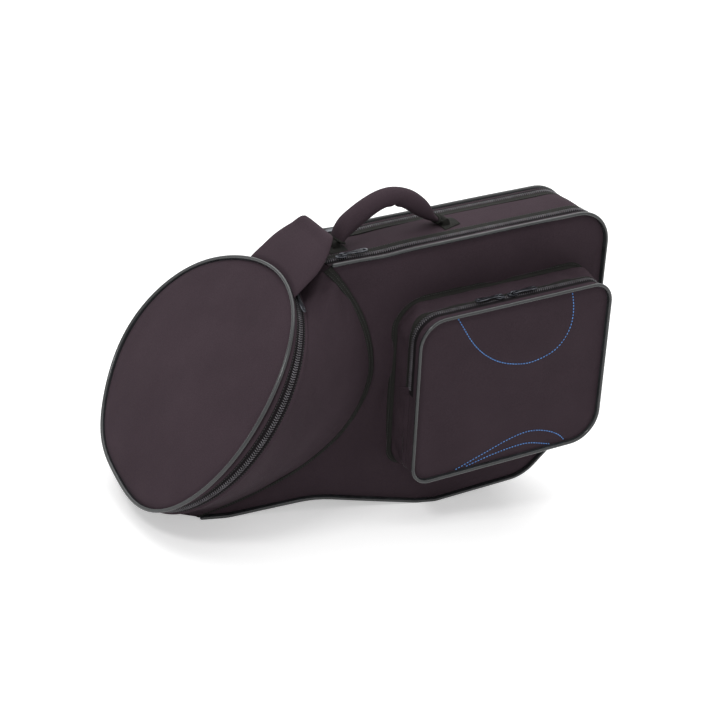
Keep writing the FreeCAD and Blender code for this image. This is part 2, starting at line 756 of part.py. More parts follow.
def pocket():
    """Front pocket: walls on the front panel, and a front that opens at its zipper."""
    face_y = -half_thick
    front_y = face_y - size("pocket_deep")
    part_y = front_y + size("pocket_zip_inset")
    thick = size("pocket_wall")
    walls = pocket_frame(0, thick, part_y + zip_near)
    keep(extruded("pocket_gusset", walls,
                  "sizes.pocket_deep - sizes.pocket_zip_inset - sizes.part_gap / 2"),
         "pocket_gusset")
    flange = pocket_frame(-size("pocket_flange"), 0, face_y - size("binding_thick"))
    keep(extruded("pocket_base_binding", flange, "sizes.binding_thick"), "pocket_base_binding")
    cover = pocket_frame(0, None, front_y)
    keep(extruded("pocket_front_cover", cover, "sizes.cover_thick"), "pocket_front_cover")
    foam = pocket_frame(thick, None, front_y + size("cover_thick"))
    keep(extruded("pocket_front_foam", foam, "sizes.foam_thick / 2"), "pocket_front_foam")
    border = pocket_frame(0, thick, front_y + size("cover_thick"))
    keep(extruded("pocket_front_border", border,
                  "sizes.pocket_zip_inset - sizes.cover_thick - sizes.part_gap / 2"),
         "pocket_front_border")
    points, radii = pocket_path(size("pocket_left"), size("pocket_right"), size("pocket_low"),
                                size("pocket_high"))
    seat = (size("piping_radius") + size("piping_seat")) / math.sqrt(2)
    y = front_y - seat
    edges = path_edges(points, radii, -seat, y)
    start = inset_corners(points, -seat)[0]
    feature("pocket_piping", pipe(edges, Vector(start[0], y, start[1]), Vector(1, 0, 0),
                                  size("piping_radius")))
    path = [(size("pocket_left"), size("pocket_zip_low")), points[4], points[1],
            (size("pocket_right"), size("pocket_zip_low"))]
    radii = [0, size("pocket_top_left_radius"), size("pocket_top_right_radius"), 0]
    for label, start in (("pocket_zip_front_row", part_y - zip_far),
                         ("pocket_zip_base_row", part_y + zip_near)):
        face = band_face(path, radii, -size("coil_high"), 0, start)
        keep(extruded(label, face, "sizes.zip_row_wide"), label)


def slider_and_pull(name, place):
    """Zipper slider with its bridge, and the pull that hinges in it.

    In the slider's own frame X runs along the zipper, Z away from the cloth, and the frame's
    origin is on the cloth under the middle of the slider. The pull points to +X.
    """
    plate_low = size("coil_high") + size("slider_lift")
    plate_high = plate_low + size("slider_plate")
    long, wide = size("slider_long"), size("slider_wide")
    plate = doc.addObject("Part::Box", name + "_plate")
    plate.setExpression("Length", "sizes.slider_long")
    plate.setExpression("Width", "sizes.slider_wide")
    plate.setExpression("Height", "sizes.slider_plate")
    plate.Placement = Placement(Vector(-long / 2, -wide / 2, plate_low), Rotation())
    rounded = doc.addObject("Part::Fillet", name + "_rounded")
    rounded.Base = plate
    doc.recompute()
    bevel = size("slider_bevel")
    rounded.Edges = [(i + 1, bevel, bevel) for i in range(len(plate.Shape.Edges))]
    bridge = doc.addObject("Part::Box", name + "_bridge")
    bridge.setExpression("Length", "sizes.bridge_long")
    bridge.setExpression("Width", "sizes.bridge_wide")
    bridge.setExpression("Height", "sizes.bridge_high")
    corner = Vector(-size("bridge_long") / 2, -size("bridge_wide") / 2, plate_high)
    bridge.Placement = Placement(corner, Rotation())
    slot = doc.addObject("Part::Box", name + "_slot")
    slot.setExpression("Length", "sizes.bridge_long - 2 * sizes.bridge_wall")
    slot.setExpression("Width", "2 * sizes.bridge_wide")
    slot.setExpression("Height", "sizes.bridge_high - sizes.bridge_wall")
    corner = Vector(size("bridge_wall") - size("bridge_long") / 2, -size("bridge_wide"), plate_high)
    slot.Placement = Placement(corner, Rotation())
    arch = doc.addObject("Part::Cut", name + "_arch")
    arch.Base, arch.Tool = bridge, slot
    whole = doc.addObject("Part::Fuse", name + "_slider")
    whole.Base, whole.Tool = rounded, arch
    keep(whole, name + "_slider", place)
    pivot = plate_high + (size("bridge_high") - size("bridge_wall")) / 2
    body = doc.addObject("PartDesign::Body", name + "_pull")
    plane = [item for item in body.Origin.OriginFeatures if item.Role == "XY_Plane"][0]
    sketch = body.newObject("Sketcher::SketchObject", name + "_pull_sketch")
    sketch.AttachmentSupport = [(plane, "")]
    sketch.MapMode = "FlatFace"
    draw_pull(sketch)
    pad = body.newObject("PartDesign::Pad", name + "_pull_pad")
    pad.Profile = sketch
    pad.SideType = "Symmetric"
    pad.setExpression("Length", "sizes.pull_thick")
    lift = Placement(Vector(0, 0, pivot), Rotation())
    keep(body, name + "_pull", place.multiply(lift))
    return pivot


def draw_pull(sketch):
    """Outline of a pull: rounded far end with a hole, and a window round the bridge."""
    half, rod = size("pull_wide") / 2, size("pull_thick") / 2
    tip = size("pull_long") - half
    side = size("bridge_wide") / 2 + size("pull_side_gap")
    window_end = rod + size("pull_window")
    outline = [(-rod, -half), (tip, -half), (tip, half), (-rod, half)]
    window = [(rod, -side), (window_end, -side), (window_end, side), (rod, side)]
    lines = [(outline[0], outline[1]), (outline[2], outline[3]), (outline[3], outline[0])]
    lines += [(window[i], window[(i + 1) % len(window)]) for i in range(len(window))]
    for start, end in lines:
        segment = Part.LineSegment(Vector(start[0], start[1], 0), Vector(end[0], end[1], 0))
        sketch.addGeometry(segment)
    circle = Part.Circle(Vector(tip, 0, 0), Vector(0, 0, 1), half)
    sketch.addGeometry(Part.ArcOfCircle(circle, -math.pi / 2, math.pi / 2))
    hole = sketch.addGeometry(Part.Circle(Vector(tip, 0, 0), Vector(0, 0, 1), half / 2))
    radius = sketch.addConstraint(Sketcher.Constraint("Radius", hole, half / 2))
    sketch.setExpression("Constraints[%d]" % radius, "sizes.pull_hole_radius")


def sliders():
    """The five zipper sliders with their pulls."""
    top = size("top_level")
    along = -size("main_slider_reach")
    slider_and_pull("main", Placement(Vector(along, -zip_middle, top), Rotation()))
    slider_and_pull("rear", Placement(Vector(along, zip_middle, top), Rotation()))
    y = -half_thick - size("pocket_deep") + size("pocket_zip_inset")
    high = size("pocket_high")
    around = Rotation(Vector(0, 0, 1), 180)
    slider_and_pull("pocket_left", Placement(Vector(size("pocket_slider_left"), y, high), around))
    slider_and_pull("pocket_right",
                    Placement(Vector(size("pocket_slider_right"), y, high), Rotation()))
    angle = math.radians(size("bell_slider_angle"))
    at = bell_point(angle, size("bell_radius"), size("bell_zip_depth"))
    out = bell_up * math.cos(angle) + front * math.sin(angle)
    ahead = front * math.cos(angle) - bell_up * math.sin(angle)
    turned = Rotation(ahead, Vector(0, 0, 0), out, "ZXY")
    slider_and_pull("bell", Placement(at, turned))


def handle():
    """Padded handle on webbing, with a pin at each end turning in the anchors."""
    top = size("top_level")
    axis = top + size("handle_axis_lift")
    left, right = -size("handle_left"), size("handle_right")
    span, rise = right - left, size("handle_rise")
    curve = Part.BSplineCurve()
    curve.interpolate([Vector(left + x * span, 0, axis + z * rise) for x, z in HANDLE_SHARES])
    length = curve.length()
    setback = size("grip_setback")
    rings = []
    for index in range(GRIP_RINGS):
        share = index / (GRIP_RINGS - 1)
        at = curve.parameterAtDistance(setback + (length - 2 * setback) * share)
        swell = math.sqrt(math.sin(math.pi * share))
        radius = size("handle_end_radius")
        radius += (size("handle_radius") - radius) * swell
        rings.append(Part.Wire(Part.makeCircle(radius, curve.value(at), curve.tangent(at)[0])))
    grip = Part.makeLoft(rings, True, False)
    ends = []
    width, thick = size("webbing_wide"), size("webbing_thick")
    for x, way, along in ((left, -1, setback), (right, 1, length - setback)):
        start = Vector(x - way * size("handle_pin_inner"), 0, axis)
        pin = Part.makeCylinder(size("handle_pin_radius"), size("handle_pin_long"), start,
                                Vector(way, 0, 0))
        base = Vector(x, 0, axis)
        run = curve.value(curve.parameterAtDistance(along)) - base
        strip = Part.makeBox(run.Length - thick, width, thick, Vector(thick, -width / 2, -thick / 2))
        strip.Placement = Placement(base, Rotation(Vector(1, 0, 0), run))
        ends.append(strip.fuse([pin]).cut(grip))
    feature("handle_webbing", Part.makeCompound(ends))
    feature("handle_grip", grip)
    anchors = []
    for x, way in ((left, -1), (right, 1)):
        gap = size("part_gap")
        long, wide = size("anchor_long"), size("anchor_wide")
        start = x + way * gap - (long if way < 0 else 0)
        high = size("handle_axis_lift") + size("handle_pin_radius") + size("webbing_thick")
        block = Part.makeBox(long, wide, high, Vector(start, -wide / 2, top))
        bore = Part.makeCylinder(size("handle_pin_radius") + size("handle_pin_gap"),
                                 2 * long, Vector(start - long / 2, 0, axis), Vector(1, 0, 0))
        patch_long, patch_wide = size("anchor_patch_long"), size("anchor_patch_wide")
        patch_start = start + long - patch_long if way < 0 else start
        patch = Part.makeBox(patch_long, patch_wide, size("anchor_patch_thick"),
                             Vector(patch_start, -patch_wide / 2, top))
        anchors.append(block.fuse(patch).cut(bore).removeSplitter())
    feature("handle_anchors", Part.makeCompound(anchors))


def place_on_floor():
    """Turn every piece by the stance angle and centre the bag over the origin."""
    turn = Placement(Vector(0, 0, 0), Rotation(Vector(0, 1, 0), -size("stance_tilt")))
    whole = FreeCAD.BoundBox()
    for obj, local in finished:
        obj.Placement = turn.multiply(local)
    doc.recompute()
    for obj, local in finished:
        whole.add(obj.Shape.optimalBoundingBox(False))
    drop = size("floor_level") * math.cos(math.radians(size("stance_tilt"))) - rest_height()
    shift = Placement(Vector(-whole.Center.x, -whole.Center.y, -drop), Rotation())
    for obj, local in finished:
        obj.Placement = shift.multiply(turn).multiply(local)
    doc.recompute()
    return shift.Base, whole


gusset()
zip_rows()
cones()
front_lid()
rear_cover()
inner_pieces()
bell_rim()
bell_lid()
closing_flap()
pocket()
sliders()
handle()
doc.recompute()
shift, whole = place_on_floor()

for obj in doc.Objects:
    if "Invalid" in obj.State or "Error" in obj.State:
        raise RuntimeError("%s failed to build" % obj.Label)
for obj, local in finished:
    if obj.Shape.isNull() or not obj.Shape.isValid() or not obj.Shape.Solids:
        raise RuntimeError("%s has no valid solid" % obj.Label)
for obj, local in finished:
    obj.Shape.exportStep("parts/%s.step" % obj.Label)

print("pieces", len(finished))
print("shift", [round(value, 3) for value in shift])
print("size", round(whole.XLength, 1), round(whole.YLength, 1), round(whole.ZMax + shift.z, 1),
      "lowest", round(whole.ZMin + shift.z, 3))
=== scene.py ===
import math
from collections import namedtuple

import bmesh
import bpy
import numpy as np
from mathutils import Matrix, Vector, geometry


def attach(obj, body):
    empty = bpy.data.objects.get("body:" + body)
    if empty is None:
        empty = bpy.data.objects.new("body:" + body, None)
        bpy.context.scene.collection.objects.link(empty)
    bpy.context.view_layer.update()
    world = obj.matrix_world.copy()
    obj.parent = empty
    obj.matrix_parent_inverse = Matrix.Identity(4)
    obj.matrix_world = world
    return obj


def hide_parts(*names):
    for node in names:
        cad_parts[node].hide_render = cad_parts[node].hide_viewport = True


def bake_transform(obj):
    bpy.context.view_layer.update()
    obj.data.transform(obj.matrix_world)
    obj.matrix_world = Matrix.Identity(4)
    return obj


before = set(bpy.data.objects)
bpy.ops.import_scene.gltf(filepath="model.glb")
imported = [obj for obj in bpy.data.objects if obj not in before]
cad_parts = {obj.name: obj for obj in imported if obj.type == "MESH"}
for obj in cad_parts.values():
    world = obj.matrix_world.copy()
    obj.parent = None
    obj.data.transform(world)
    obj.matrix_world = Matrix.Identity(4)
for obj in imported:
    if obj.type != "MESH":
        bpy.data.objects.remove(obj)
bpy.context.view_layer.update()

# A padded french horn bag, dressed over its CAD frame. Shapes are laid out in the bag's own frame,
# in millimetres: X along the level top edge, Y from the pocket side to the rear, Z square to both.
# to_row turns them by the stance angle into the row frame, in metres.
MM = 0.001
STANCE = math.radians(11.5)
SHIFT_X = 12.58
SHIFT_Z = -8.127

HALF_THICK = 52.0
ZIP_Y = 37.0
TOP = 378.0
RIGHT = 353.0
FLOOR_LEVEL = 12.0
FOOT_LEFT = -250.0
WALL = 7.2
PART_GAP = 0.15
ROW_WIDE = 3.4
CORD = 2.4
CORD_SEAT = 1.73
TOOTH_PITCH = 3.1
STITCH_GAP = 1.3

BELL_TILT = math.radians(37.3)
BELL_CENTRE = np.array([-234.9, 0.0, 237.7])
BELL_AXIS = np.array([-math.cos(BELL_TILT), 0.0, math.sin(BELL_TILT)])
BELL_UP = np.array([math.sin(BELL_TILT), 0.0, math.cos(BELL_TILT)])
FRONT = np.array([0.0, -1.0, 0.0])
RADIUS = 170.0
DOME = 10.0
THROAT = 28.0
BELL_ZIP = 16.0
THROAT_ANGLE = math.asin((ZIP_Y + PART_GAP) / RADIUS)
RIM_PAIR_SHARE = 0.7
CORNER_STRIP_SHARE = 0.02

POCKET_LEFT, POCKET_RIGHT = 30.0, 321.0
POCKET_LOW, POCKET_HIGH = 70.0, 303.0
POCKET_MIDDLE = 175.5
POCKET_Y = -114.0
POCKET_ZIP_Y = -94.0
POCKET_WALL = 2.4
POCKET_ZIP_LOW = 200.0


def rest_line(x):
    """Level of the surface that the bag stands on, in the bag's own frame."""
    return FLOOR_LEVEL - x * math.tan(STANCE)


PANEL_CORNERS = [(-72, TOP), (RIGHT, TOP), (RIGHT, 78), (251, -8), (108, rest_line(108)),
                 (78, rest_line(78)), (-80, 47), (-210, rest_line(-210)),
                 (FOOT_LEFT, rest_line(FOOT_LEFT))]
PANEL_RADII = [0, 50, 50, 58, 20, 60, 200, 100, 0]
SEAM_THROUGH = [(-72, TOP), (-41.1, 334.9), (-10.9, 269.1), (-4.7, 206.0), (-38.9, 140.6),
                (-120.1, 90.7), (FOOT_LEFT, rest_line(FOOT_LEFT))]
POCKET_CORNERS = [(POCKET_MIDDLE, POCKET_HIGH), (POCKET_RIGHT, POCKET_HIGH),
                  (POCKET_RIGHT, POCKET_LOW), (POCKET_LEFT, POCKET_LOW), (POCKET_LEFT, POCKET_HIGH),
                  (POCKET_MIDDLE, POCKET_HIGH)]
POCKET_RADII = [0, 28, 40, 24, 34, 0]


Outline = namedtuple("Outline", "line out")


def to_row(points):
    """Points of the bag's frame, in millimetres, as points of the row frame, in metres."""
    p = np.asarray(points, float)
    x = p[..., 0] * math.cos(STANCE) - p[..., 2] * math.sin(STANCE) + SHIFT_X
    z = p[..., 0] * math.sin(STANCE) + p[..., 2] * math.cos(STANCE) + SHIFT_Z
    return np.stack([x, p[..., 1], np.maximum(z, 0.0)], axis=-1) * MM


def rear_drop(y):
    """How far the top edge hangs lower towards the rear."""
    return 4.6 * np.clip((np.asarray(y, float) + 6.0) / 58.0, 0, 1) ** 1.4


def settle(points):
    """The sag of the top edge beside the handle and towards the rear, which all there follows."""
    p = np.array(points, float)
    high = np.clip((p[..., 2] - 330.0) / 45.0, 0, 1)
    p[..., 2] -= 2.0 * np.exp(-((p[..., 0] - 5.0) / 30.0) ** 2) * high
    right = np.clip((p[..., 0] + 90.0) / 60.0, 0, 1)
    low = np.clip((410.0 - p[..., 2]) / 25.0, 0, 1)
    p[..., 2] -= rear_drop(p[..., 1]) * high * right * low
    return p


def unit(v):
    v = np.asarray(v, float)
    return v / np.maximum(np.linalg.norm(v, axis=-1, keepdims=True), 1e-9)


def soft(points, size, seed, waves=7):
    """Smooth random field between about -1 and 1, with features of about that size."""
    rng = np.random.default_rng(seed)
    p = np.asarray(points, float)
    total = np.zeros(p.shape[:-1])
    for _ in range(waves):
        way = unit(rng.normal(size=p.shape[-1])) * rng.uniform(0.6, 1.5) * math.pi / size
        total += np.sin(p @ way + rng.uniform(0, 2 * math.pi))
    return total / math.sqrt(waves) / 1.2


def fold(points, start, end, width, lean=0.0):
    """Share from 0 to 1 of a soft crease from start to end, fading out at both ends."""
    p = np.asarray(points, float)
    a, b = np.asarray(start, float), np.asarray(end, float)
    run = b - a
    length = np.linalg.norm(run)
    along = ((p - a) @ run) / length ** 2
    foot = a + along[..., None] * run
    off = np.linalg.norm(p - foot, axis=-1)
    fade = np.clip(along, 0, 1) * np.clip(1 - along, 0, 1) * 4
    return np.exp(-(off / (width * (1 + lean * along))) ** 2) * np.sqrt(fade)


def creased(height, points, creases, sign=1, lean=0.0):
    """Heights with creases drawn in. A crease has a start, an end, a width and a depth."""
    for start, end, width, depth in creases:
        height = height + sign * depth * fold(points, start, end, width, lean)
    return height


def bell_point(angle, radius, depth):
    """Point of the bell's ring, by its angle from the top towards the front."""
    angle = np.asarray(angle, float)
    spread = (np.cos(angle)[..., None] * BELL_UP + np.sin(angle)[..., None] * FRONT)
    radius = np.asarray(radius, float)
    depth = np.asarray(depth, float)
    return BELL_CENTRE + spread * radius[..., None] - BELL_AXIS * depth[..., None]


# How far the sewn rim of the bell leaves a true circle, at every 20 degrees from its top.
ROUNDNESS = np.array([-3.2, 5.0, 2.8, -3.4, -8.0, -5.6, -0.6, 7.0, 2.6, -8.4, -9.6, -6.6, -7.0,
                      -2.6, -3.4, -6.0, -10.4, -9.4])


def wobble(angle, depth=0.0):
    """Offset of the rim from its circle, which fades from the lid's face to the throat."""
    angle = np.asarray(angle, float)
    waves = np.fft.rfft(ROUNDNESS) / len(ROUNDNESS)
    total = np.full(angle.shape, waves[0].real)
    for k in range(1, 9):
        total += 2 * (waves[k].real * np.cos(k * angle) - waves[k].imag * np.sin(k * angle))
    rear = 0.5 - 0.5 * np.tanh(3 * np.sin(angle))
    held = np.interp(depth, [0, 8, 16, 28], [0, 0.5, 1, 1.1])
    return total * (1 - held * (0.72 - 0.42 * rear))


def travelled(line):
    """Length along a line up to each of its points."""
    return np.concatenate([[0], np.cumsum(np.linalg.norm(np.diff(line, axis=0), axis=1))])


def picked(at, s, values):
    """Values along a line at other lengths along it."""
    return np.stack([np.interp(at, s, values[:, k]) for k in range(values.shape[1])], axis=1)


def turns(count):
    """Evenly spaced angles of a full turn."""
    return np.linspace(0, 2 * math.pi, count, endpoint=False)


def facing(line, y):
    """One direction across the bag, for each point of a line."""
    return np.tile([0.0, float(y), 0.0], (len(line), 1))


def resample(points, step):
    """The same line with evenly spaced points."""
    p = np.asarray(points, float)
    s = travelled(p)
    count = max(int(round(s[-1] / step)), 2)
    return picked(np.linspace(0, s[-1], count + 1), s, p)


def rounded(corners, radii, step, sharp=4.0):
    """Evenly spaced points of a path with rounded corners, and their outward normals."""
    dense = [np.array(corners[0], float)]
    for index in range(1, len(corners) - 1):
        before, here, after = (np.array(c, float) for c in corners[index - 1:index + 2])
        d, e = unit(here - before), unit(after - here)
        turn = math.atan2(d[0] * e[1] - d[1] * e[0], d @ e)
        radius = max(radii[index], sharp)
        first = here - d * radius * math.tan(abs(turn) / 2)
        centre = first + np.array([-d[1], d[0]]) * math.copysign(radius, turn)
        steps = max(int(abs(turn) / math.radians(3)), 3)
        for k in range(steps + 1):
            a = turn * k / steps
            x, z = first - centre
            dense.append(centre + [x * math.cos(a) - z * math.sin(a),
                                   x * math.sin(a) + z * math.cos(a)])
    dense.append(np.array(corners[-1], float))
    points = resample(dense, step)
    along = unit(np.gradient(points, axis=0))
    return Outline(points, np.stack([-along[:, 1], along[:, 0]], axis=1))


def spline(through, step):
    """Evenly spaced points of a smooth line through a few points."""
    p = np.array(through, float)
    t = travelled(p)
    n, h = len(p), np.diff(t)
    system, right = np.eye(n), np.zeros((n, p.shape[1]))
    for i in range(1, n - 1):
        system[i, i - 1:i + 2] = h[i - 1], 2 * (h[i - 1] + h[i]), h[i]
        right[i] = 6 * ((p[i + 1] - p[i]) / h[i] - (p[i] - p[i - 1]) / h[i - 1])
    bend = np.linalg.solve(system, right)
    at = np.linspace(0, t[-1], int(t[-1] / 0.8) + 2)
    k = np.clip(np.searchsorted(t, at, side="right") - 1, 0, n - 2)
    a, b, w = (t[k + 1] - at)[:, None], (at - t[k])[:, None], h[k][:, None]
    dense = (bend[k] * a ** 3 + bend[k + 1] * b ** 3) / (6 * w)
    dense += (p[k] / w - bend[k] * w / 6) * a + (p[k + 1] / w - bend[k + 1] * w / 6) * b
    return resample(dense, step)


def distance(points, line, closed=False):
    """Distance of plane points to a line of points."""
    a = np.asarray(line, float)
    b = np.roll(a, -1, axis=0) if closed else a[1:]
    a = a if closed else a[:-1]
    best = np.full(len(points), 1e9)
    for start, end in zip(a, b):
        run = end - start
        t = np.clip(((points - start) @ run) / max(run @ run, 1e-12), 0, 1)
        best = np.minimum(best, np.linalg.norm(points - start - t[:, None] * run, axis=1))
    return best


def inside(points, loop):
    """Which plane points lie inside a closed line."""
    x, z = points[:, 0], points[:, 1]
    found = np.zeros(len(points), bool)
    for (ax, az), (bx, bz) in zip(loop, np.roll(loop, -1, axis=0)):
        crosses = (az > z) != (bz > z)
        found ^= crosses & (x < (bx - ax) * (z - az) / (bz - az + 1e-12) + ax)
    return found


# Materials

CLOTH = (0.061, 0.0415, 0.0515, 1)
CLOTH_DARK = (0.040, 0.027, 0.034, 1)
TAPE = (0.032, 0.032, 0.029, 1)
TAPE_DARK = (0.017, 0.017, 0.0155, 1)
ZIP_TAPE = (0.016, 0.013, 0.015, 1)
ZIP_TAPE_DARK = (0.009, 0.008, 0.009, 1)
CORD_GREY = (0.030, 0.033, 0.035, 1)
CORD_DARK = (0.018, 0.020, 0.021, 1)
COIL = (0.075, 0.070, 0.078, 1)
# lighter coil colour that paints glints onto the teeth, a painted highlight
COIL_PAINTED_GLINT = (0.170, 0.160, 0.178, 1)
GUNMETAL = (0.170, 0.178, 0.200, 1)
GUNMETAL_DARK = (0.045, 0.048, 0.056, 1)
LINING = (0.050, 0.050, 0.056, 1)
LINING_DARK = (0.034, 0.034, 0.039, 1)
THREAD_BLUE = (0.130, 0.370, 0.860, 1)
THREAD_BLUE_DARK = (0.080, 0.240, 0.640, 1)
THREAD_DARK = (0.034, 0.034, 0.034, 1)


class Look:
    """A material built up node by node."""

    def __init__(self, name, rough, sheen=0.0, metallic=0.0, specular=0.5):
        self.material = bpy.data.materials.new(name)
        self.material.use_nodes = True
        self.tree = self.material.node_tree
        self.shader = self.tree.nodes["Principled BSDF"]
        self.shader.inputs["Roughness"].default_value = rough
        self.shader.inputs["Metallic"].default_value = metallic
        self.shader.inputs["Specular IOR Level"].default_value = specular
        if sheen:
            self.shader.inputs["Sheen Weight"].default_value = sheen
            self.shader.inputs["Sheen Roughness"].default_value = 0.6
        self.place = self.node("ShaderNodeTexCoord")

    def node(self, kind, **values):
        made = self.tree.nodes.new(kind)
        for key, value in values.items():
            setattr(made, key, value)
        return made

    def link(self, source, target):
        self.tree.links.new(source, target)

    def noise(self, scale, detail=2.0, rough=0.5):
        made = self.node("ShaderNodeTexNoise")
        made.inputs["Scale"].default_value = scale
        made.inputs["Detail"].default_value = detail
        made.inputs["Roughness"].default_value = rough
        self.link(self.place.outputs["Object"], made.inputs["Vector"])
        return made.outputs["Fac"]

    def maths(self, kind, one, two=None, three=None):
        made = self.node("ShaderNodeMath", operation=kind)
        for socket, value in zip(made.inputs, (one, two, three)):
            if value is None:
                continue
            if isinstance(value, (int, float)):
                socket.default_value = value
            else:
                self.link(value, socket)
        return made.outputs[0]

    def spread(self, fac, low, high):
        made = self.node("ShaderNodeMapRange")
        made.inputs["From Min"].default_value = low
        made.inputs["From Max"].default_value = high
        self.link(fac, made.inputs["Value"])
        return made.outputs["Result"]

    def blend(self, fac, one, two):
        made = self.node("ShaderNodeMix", data_type="RGBA")
        self.link(fac, made.inputs["Factor"])
        for socket, value in ((made.inputs["A"], one), (made.inputs["B"], two)):
            if isinstance(value, tuple):
                socket.default_value = value
            else:
                self.link(value, socket)
        return made.outputs["Result"]

    def weave(self, across, along):
        """Height of crossing threads, from the unwrapped lengths in metres."""
        split = self.node("ShaderNodeSeparateXYZ")
        self.link(self.place.outputs["UV"], split.inputs[0])
        waves = []
        for axis, pitch in (("X", across), ("Y", along)):
            if pitch:
                turned = self.maths("MULTIPLY", split.outputs[axis], 2 * math.pi / (pitch * MM))
                waves.append(self.maths("SINE", turned))
        height = waves[0] if len(waves) == 1 else self.maths("MULTIPLY", *waves)
        return self.maths("MULTIPLY_ADD", height, 0.5, 0.5)

    def bump(self, height, strength, depth):
        made = self.node("ShaderNodeBump")
        made.inputs["Strength"].default_value = strength
        made.inputs["Distance"].default_value = depth * MM
        self.link(height, made.inputs["Height"])
        if self.shader.inputs["Normal"].is_linked:
            self.link(self.shader.inputs["Normal"].links[0].from_socket, made.inputs["Normal"])
        self.link(made.outputs[0], self.shader.inputs["Normal"])

    def paint(self, colour):
        self.link(colour, self.shader.inputs["Base Color"])
        return self.material


def cloth_look(name, light, dark, across=0.9, along=0.9, sheen=0.0, rough=0.86, depth=0.22):
    """Woven cloth: mottled, speckled, with crossing threads."""
    look = Look(name, rough, sheen=sheen, specular=0.1)
    mottle = look.spread(look.noise(14, 3), 0.30, 0.72)
    speckle = look.spread(look.noise(760, 2), 0.32, 0.68)
    threads = look.weave(across, along)
    both = look.maths("ADD", look.maths("MULTIPLY", mottle, 0.40),
                      look.maths("MULTIPLY_ADD", speckle, 0.45, 0.0))
    both = look.maths("ADD", both, look.maths("MULTIPLY", threads, 0.20))
    look.bump(threads, 0.55, depth)
    look.bump(look.noise(900, 1), 0.35, 0.16)
    look.bump(look.noise(45, 2), 0.25, 0.9)
    return look.paint(look.blend(both, dark, light))


def cord_look():
    """Smooth cord cover with a soft shine."""
    look = Look("cord_cover", 0.24, specular=0.55)
    look.bump(look.noise(260, 2), 0.25, 0.25)
    look.bump(look.weave(2.6, None), 0.10, 0.08)
    return look.paint(look.blend(look.spread(look.noise(60, 3), 0.3, 0.7), CORD_DARK, CORD_GREY))


def coil_look():
    """Nylon coil, with lighter patches at random that are painted glints, a painted highlight."""
    look = Look("zip_coil", 0.36, specular=0.6)
    look.bump(look.noise(700, 1), 0.2, 0.1)
    return look.paint(look.blend(look.spread(look.noise(120, 2), 0.35, 0.7), COIL, COIL_PAINTED_GLINT))


def metal_look():
    """Gunmetal with worn edges and fine scratches."""
    look = Look("gunmetal", 0.30, metallic=0.9)
    scratch = look.noise(420, 4, 0.7)
    look.link(look.maths("MULTIPLY_ADD", scratch, 0.3, 0.16), look.shader.inputs["Roughness"])
    look.bump(scratch, 0.15, 0.05)
    worn = look.spread(look.noise(160, 3, 0.65), 0.4, 0.68)
    return look.paint(look.blend(worn, GUNMETAL_DARK, GUNMETAL))


def thread_look(name, light, dark):
    """Twisted sewing thread."""
    look = Look(name, 0.6, sheen=0.2, specular=0.3)
    look.bump(look.noise(1800, 1), 0.4, 0.1)
    return look.paint(look.blend(look.spread(look.noise(300, 2), 0.3, 0.7), dark, light))


def hook_look():
    """Short stiff pile of a hook and loop fastener."""
    look = Look("hook_pile", 0.9, sheen=0.5, specular=0.2)
    pile = look.noise(1200, 2, 0.8)
    look.bump(pile, 0.9, 0.7)
    return look.paint(look.blend(pile, TAPE_DARK, THREAD_DARK))


FABRIC = cloth_look("bag_cloth", CLOTH, CLOTH_DARK)
RIBBON = cloth_look("ribbed_tape", TAPE, TAPE_DARK, across=1.3, along=None, depth=0.35)
WEBBING = cloth_look("webbing", TAPE, TAPE_DARK, across=1.6, along=2.4, depth=0.5)
COIL_TAPE = cloth_look("coil_tape", ZIP_TAPE, ZIP_TAPE_DARK, across=1.3, along=None, depth=0.3)
BRUSHED = cloth_look("brushed_lining", LINING, LINING_DARK, across=1.8, along=1.8, sheen=0.1)
PADDING = cloth_look("padding_cover", LINING, LINING_DARK, across=1.2, along=1.2, sheen=0.1)
PIPING = cord_look()
ZIP = coil_look()
METAL = metal_look()
BLUE = thread_look("blue_thread", THREAD_BLUE, THREAD_BLUE_DARK)
BLACK = thread_look("black_thread", THREAD_DARK, TAPE_DARK)
HOOKS = hook_look()


# Mesh making

def add(name, data):
    """A new object of this mesh, curve, lamp or camera, in the scene."""
    obj = bpy.data.objects.new(name, data)
    bpy.context.scene.collection.objects.link(obj)
    return obj


def mesh_object(name, points, faces, uv, looks, face_looks=None, sharp=50):
    """An object from points of the bag's frame, with its cloth lengths as its unwrapping."""
    mesh = bpy.data.meshes.new(name)
    mesh.from_pydata(to_row(settle(points)).tolist(), [], [list(map(int, f)) for f in faces])
    for look in looks:
        mesh.materials.append(look)
    if face_looks is not None:
        mesh.polygons.foreach_set("material_index", np.asarray(face_looks, np.int32))
    layer = mesh.uv_layers.new(name="lengths")
    corner = np.empty(len(mesh.loops), np.int32)
    mesh.loops.foreach_get("vertex_index", corner)
    layer.data.foreach_set("uv", (np.asarray(uv, float)[corner] * MM).ravel())
    shell = bmesh.new()
    shell.from_mesh(mesh)
    bmesh.ops.recalc_face_normals(shell, faces=shell.faces)
    shell.to_mesh(mesh)
    shell.free()
    mesh.shade_smooth()
    mesh.set_sharp_from_angle(angle=math.radians(sharp))
    return add(name, mesh)


def dress(obj, body, nodes=(), bend=None):
    """Fasten a piece to its CAD body and hide the nodes it stands for.
    With bend given, the piece only has its transform baked in and is not fastened to its body; the
    body and points that bend holds are not used."""
    if bend:
        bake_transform(obj)
    else:
        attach(obj, body)
    if nodes:
        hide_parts(*nodes)
    return obj


def lengths(grid):
    """Unwrapped lengths along both ways of a grid of points."""
    u = np.zeros(grid.shape[:2])
    v = np.zeros(grid.shape[:2])
    u[1:] = np.cumsum(np.linalg.norm(np.diff(grid, axis=0), axis=2), axis=0)
    u = np.repeat(u.mean(axis=1, keepdims=True), grid.shape[1], axis=1)
    v[:, 1:] = np.cumsum(np.linalg.norm(np.diff(grid, axis=1), axis=2), axis=1)
    return np.stack([u, v], axis=-1)


